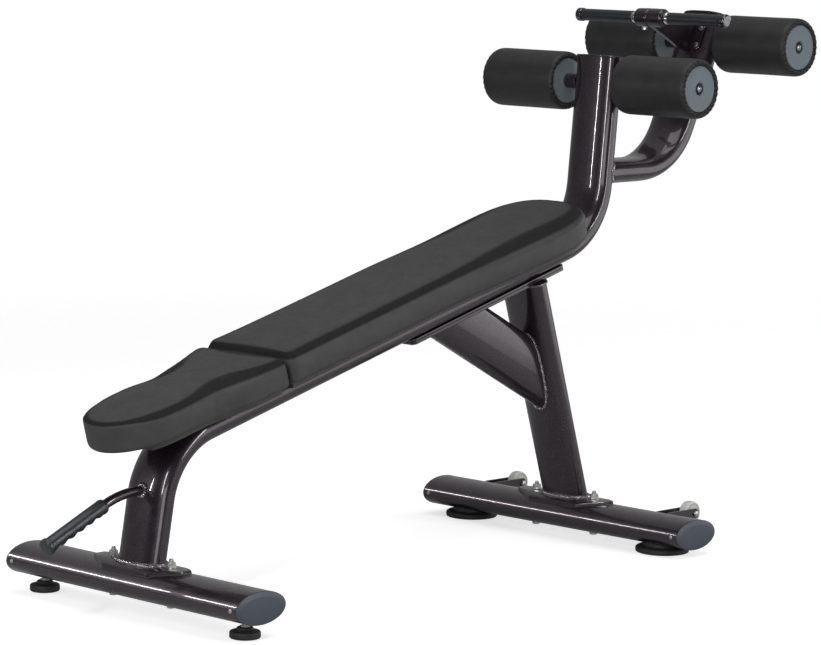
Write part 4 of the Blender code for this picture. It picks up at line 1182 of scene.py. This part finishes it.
def make_boards():
    """The board under each pad, 20 mm narrower all round, with eased edges."""
    boards = {"back_pad": (0.2980, 1.1400, back_pad_half), "head_pad": (-0.0300, 0.2700, head_pad_half)}
    section = softened([(-1, 0.0248), (1, 0.0248), (1, 0.0345), (-1, 0.0345)], 0.0008, closed=True)
    for node, (low, high, half_at) in boards.items():
        along = np.concatenate([[low], np.linspace(low + 0.001, high - 0.001, 60), [high]])
        half = half_at(along) - 0.020
        half[[0, -1]] -= 0.001
        x = half[:, None] * np.clip(section[:, 0], -1, 1)[None]
        above = np.broadcast_to(section[:, 1], x.shape)
        grid = on_slope(np.broadcast_to(along[:, None], x.shape), above, x)
        keep(surface(f"{node}_board_fine", grid, "board_wood"), "board_wood", f"{node}_board")


make_main_frame()
make_arm()
make_rear_leg()
make_joint_plates()
make_joint_bolts()
for base_label, base_place in (("low", LOW_BASE), ("rear", REAR_BASE)):
    make_base(base_label, base_place)
    make_foot_plate(base_label, base_place)
make_feet()
make_wheels()
make_rollers()
make_carry_handle()
make_assist_handle()
make_pads()
make_boards()


# Stage, light and camera -------------------------------------------------------------------------------


def floor_finish():
    """White under the bench, fading out some metres away, where the white of the sky takes over. It is
    brighter to the eye than it is as a reflector, so that undersides stay dark."""
    pale = Finish("pale_floor", (0.80, 0.80, 0.80), 0.9)
    seen = pale.node("ShaderNodeLightPath").outputs["Is Camera Ray"]
    pale.colour(pale.blend(seen, (0.55, 0.55, 0.55), (0.80, 0.80, 0.80)))
    pale.shader.inputs["Emission Color"].default_value = (1.0, 1.0, 1.0, 1.0)
    pale.link(pale.maths("MULTIPLY", seen, 0.62), pale.shader.inputs["Emission Strength"])
    away = pale.node("ShaderNodeVectorMath")
    away.operation = "LENGTH"
    pale.link(pale.coordinates, away.inputs[0])
    fade = pale.spread(away.outputs["Value"], 0.0, 1.0, 1.6, 4.5)
    clear = pale.node("ShaderNodeBsdfTransparent")
    mix = pale.node("ShaderNodeMixShader", Fac=fade)
    pale.link(pale.shader.outputs["BSDF"], mix.inputs[1])
    pale.link(clear.outputs["BSDF"], mix.inputs[2])
    pale.link(mix.outputs["Shader"], pale.tree.nodes["Material Output"].inputs["Surface"])
    return pale.material


def make_stage():
    """One large square of floor, just under the feet."""
    reach, height = 30.0, -0.0004
    corners = [(reach * x, reach * y, height) for x, y in ((-1, -1), (1, -1), (1, 1), (-1, 1))]
    floor = bpy.data.meshes.new("floor")
    floor.from_pydata(corners, [], [(0, 1, 2, 3)])
    floor.materials.append(floor_finish())
    piece = bpy.data.objects.new("floor", floor)
    bpy.context.scene.collection.objects.link(piece)


def make_sky():
    """White to the eye, and for light a sweep that is bright behind the bench and dim in front of it."""
    world = bpy.data.worlds.new("studio")
    bpy.context.scene.world = world
    world.use_nodes = True
    nodes, links = world.node_tree.nodes, world.node_tree.links
    background = nodes["Background"]
    coordinates = nodes.new("ShaderNodeTexCoord")
    facing = nodes.new("ShaderNodeVectorMath")
    facing.operation = "DOT_PRODUCT"
    links.new(coordinates.outputs["Generated"], facing.inputs[0])
    facing.inputs[1].default_value = (-0.66, 0.69, 0.30)
    sweep = nodes.new("ShaderNodeMapRange")
    sweep.interpolation_type = "SMOOTHSTEP"
    links.new(facing.outputs["Value"], sweep.inputs["Value"])
    sweep.inputs["From Min"].default_value = -0.35
    sweep.inputs["From Max"].default_value = 0.75
    sweep.inputs["To Min"].default_value = 0.05
    sweep.inputs["To Max"].default_value = 0.30
    path = nodes.new("ShaderNodeLightPath")
    choose = nodes.new("ShaderNodeMix")
    links.new(path.outputs["Is Camera Ray"], choose.inputs["Factor"])
    links.new(sweep.outputs["Result"], choose.inputs["A"])
    choose.inputs["B"].default_value = 1.0
    links.new(choose.outputs["Result"], background.inputs["Strength"])
    background.inputs["Color"].default_value = (1.0, 1.0, 1.0, 1.0)


def make_light(name, place, aim, size, power, only=()):
    """A rectangular soft light, and the pieces that it lights if not all of them."""
    lamp = bpy.data.lights.new(name, "AREA")
    lamp.shape = "RECTANGLE"
    lamp.size, lamp.size_y = size
    lamp.energy = power
    holder = bpy.data.objects.new(name, lamp)
    holder.location = place
    holder.rotation_euler = (Vector(aim) - Vector(place)).to_track_quat("-Z", "Y").to_euler()
    bpy.context.scene.collection.objects.link(holder)
    if only:
        lit = bpy.data.collections.new(f"{name}_pieces")
        for piece in only:
            lit.objects.link(bpy.data.objects[piece])
        holder.light_linking.receiver_collection = lit


def make_lights():
    """Broad soft lights, strips whose reflections draw the long highlights, and a line along the bases."""
    make_light("overhead", (0.3, 0.0, 4.2), (0.0, 0.1, 0.0), (3.0, 3.4), 60.0)
    make_light("front_strip", (1.25, -3.6, 2.02), (0.0, 0.3, 0.7), (0.22, 2.2), 60.0)
    make_light("post_strip", (-2.0, -3.4, 1.22), (0.0, 0.3, 1.0), (0.035, 0.9), 15.0)
    make_light("back_fill", (0.4, 4.8, 1.4), (0.0, 0.2, 0.5), (2.6, 1.4), 24.0)
    make_light("low_fill", (3.4, -3.2, 0.7), (0.0, 0.3, 0.4), (2.6, 1.2), 30.0)
    make_light("right_strip", (4.2, 1.4, 1.8), (0.0, 0.4, 0.6), (0.4, 2.6), 50.0)
    meshes = [piece.name for piece in bpy.data.objects if piece.type == "MESH"]
    all_but_rollers = [name for name in meshes if "roller" not in name]
    make_light("side_panel", (3.2, 3.6, 0.7), (0.0, 0.3, 0.5), (4.0, 2.2), 42.0, all_but_rollers)
    tubes = ["low_base_tube_fine", "rear_base_tube_fine"]
    make_light("base_strip", (-3.0, -2.6, 2.3), (0.0, 0.0, 0.05), (3.2, 0.12), 90.0, tubes)


def make_camera():
    """A long lens from the front right, a little above the pads."""
    azimuth, pitch, roll = (math.radians(degrees) for degrees in (43.524, 7.0476, -0.933))
    level, rise = math.cos(pitch), math.sin(pitch)
    back = Vector((math.sin(azimuth) * level, -math.cos(azimuth) * level, rise))
    right = Vector((math.cos(azimuth), math.sin(azimuth), 0.0))
    up = back.cross(right)
    level_right = right * math.cos(roll) - up * math.sin(roll)
    level_up = right * math.sin(roll) + up * math.cos(roll)
    distance = 6.5426
    place = Vector((0.0, 0.0064, 0.5)) + distance * back
    camera = bpy.data.cameras.new("camera")
    camera.sensor_width = 36.0
    camera.lens = 147.59
    camera.shift_x = -0.00287
    camera.shift_y = -0.01571
    camera.clip_end = 100.0
    holder = bpy.data.objects.new("camera", camera)
    turn = Matrix((level_right, level_up, back)).transposed().to_4x4()
    holder.matrix_world = Matrix.Translation(place) @ turn
    bpy.context.scene.collection.objects.link(holder)
    bpy.context.scene.camera = holder


make_stage()
make_sky()
make_lights()
make_camera()
bpy.context.scene.view_settings.view_transform = "Standard"
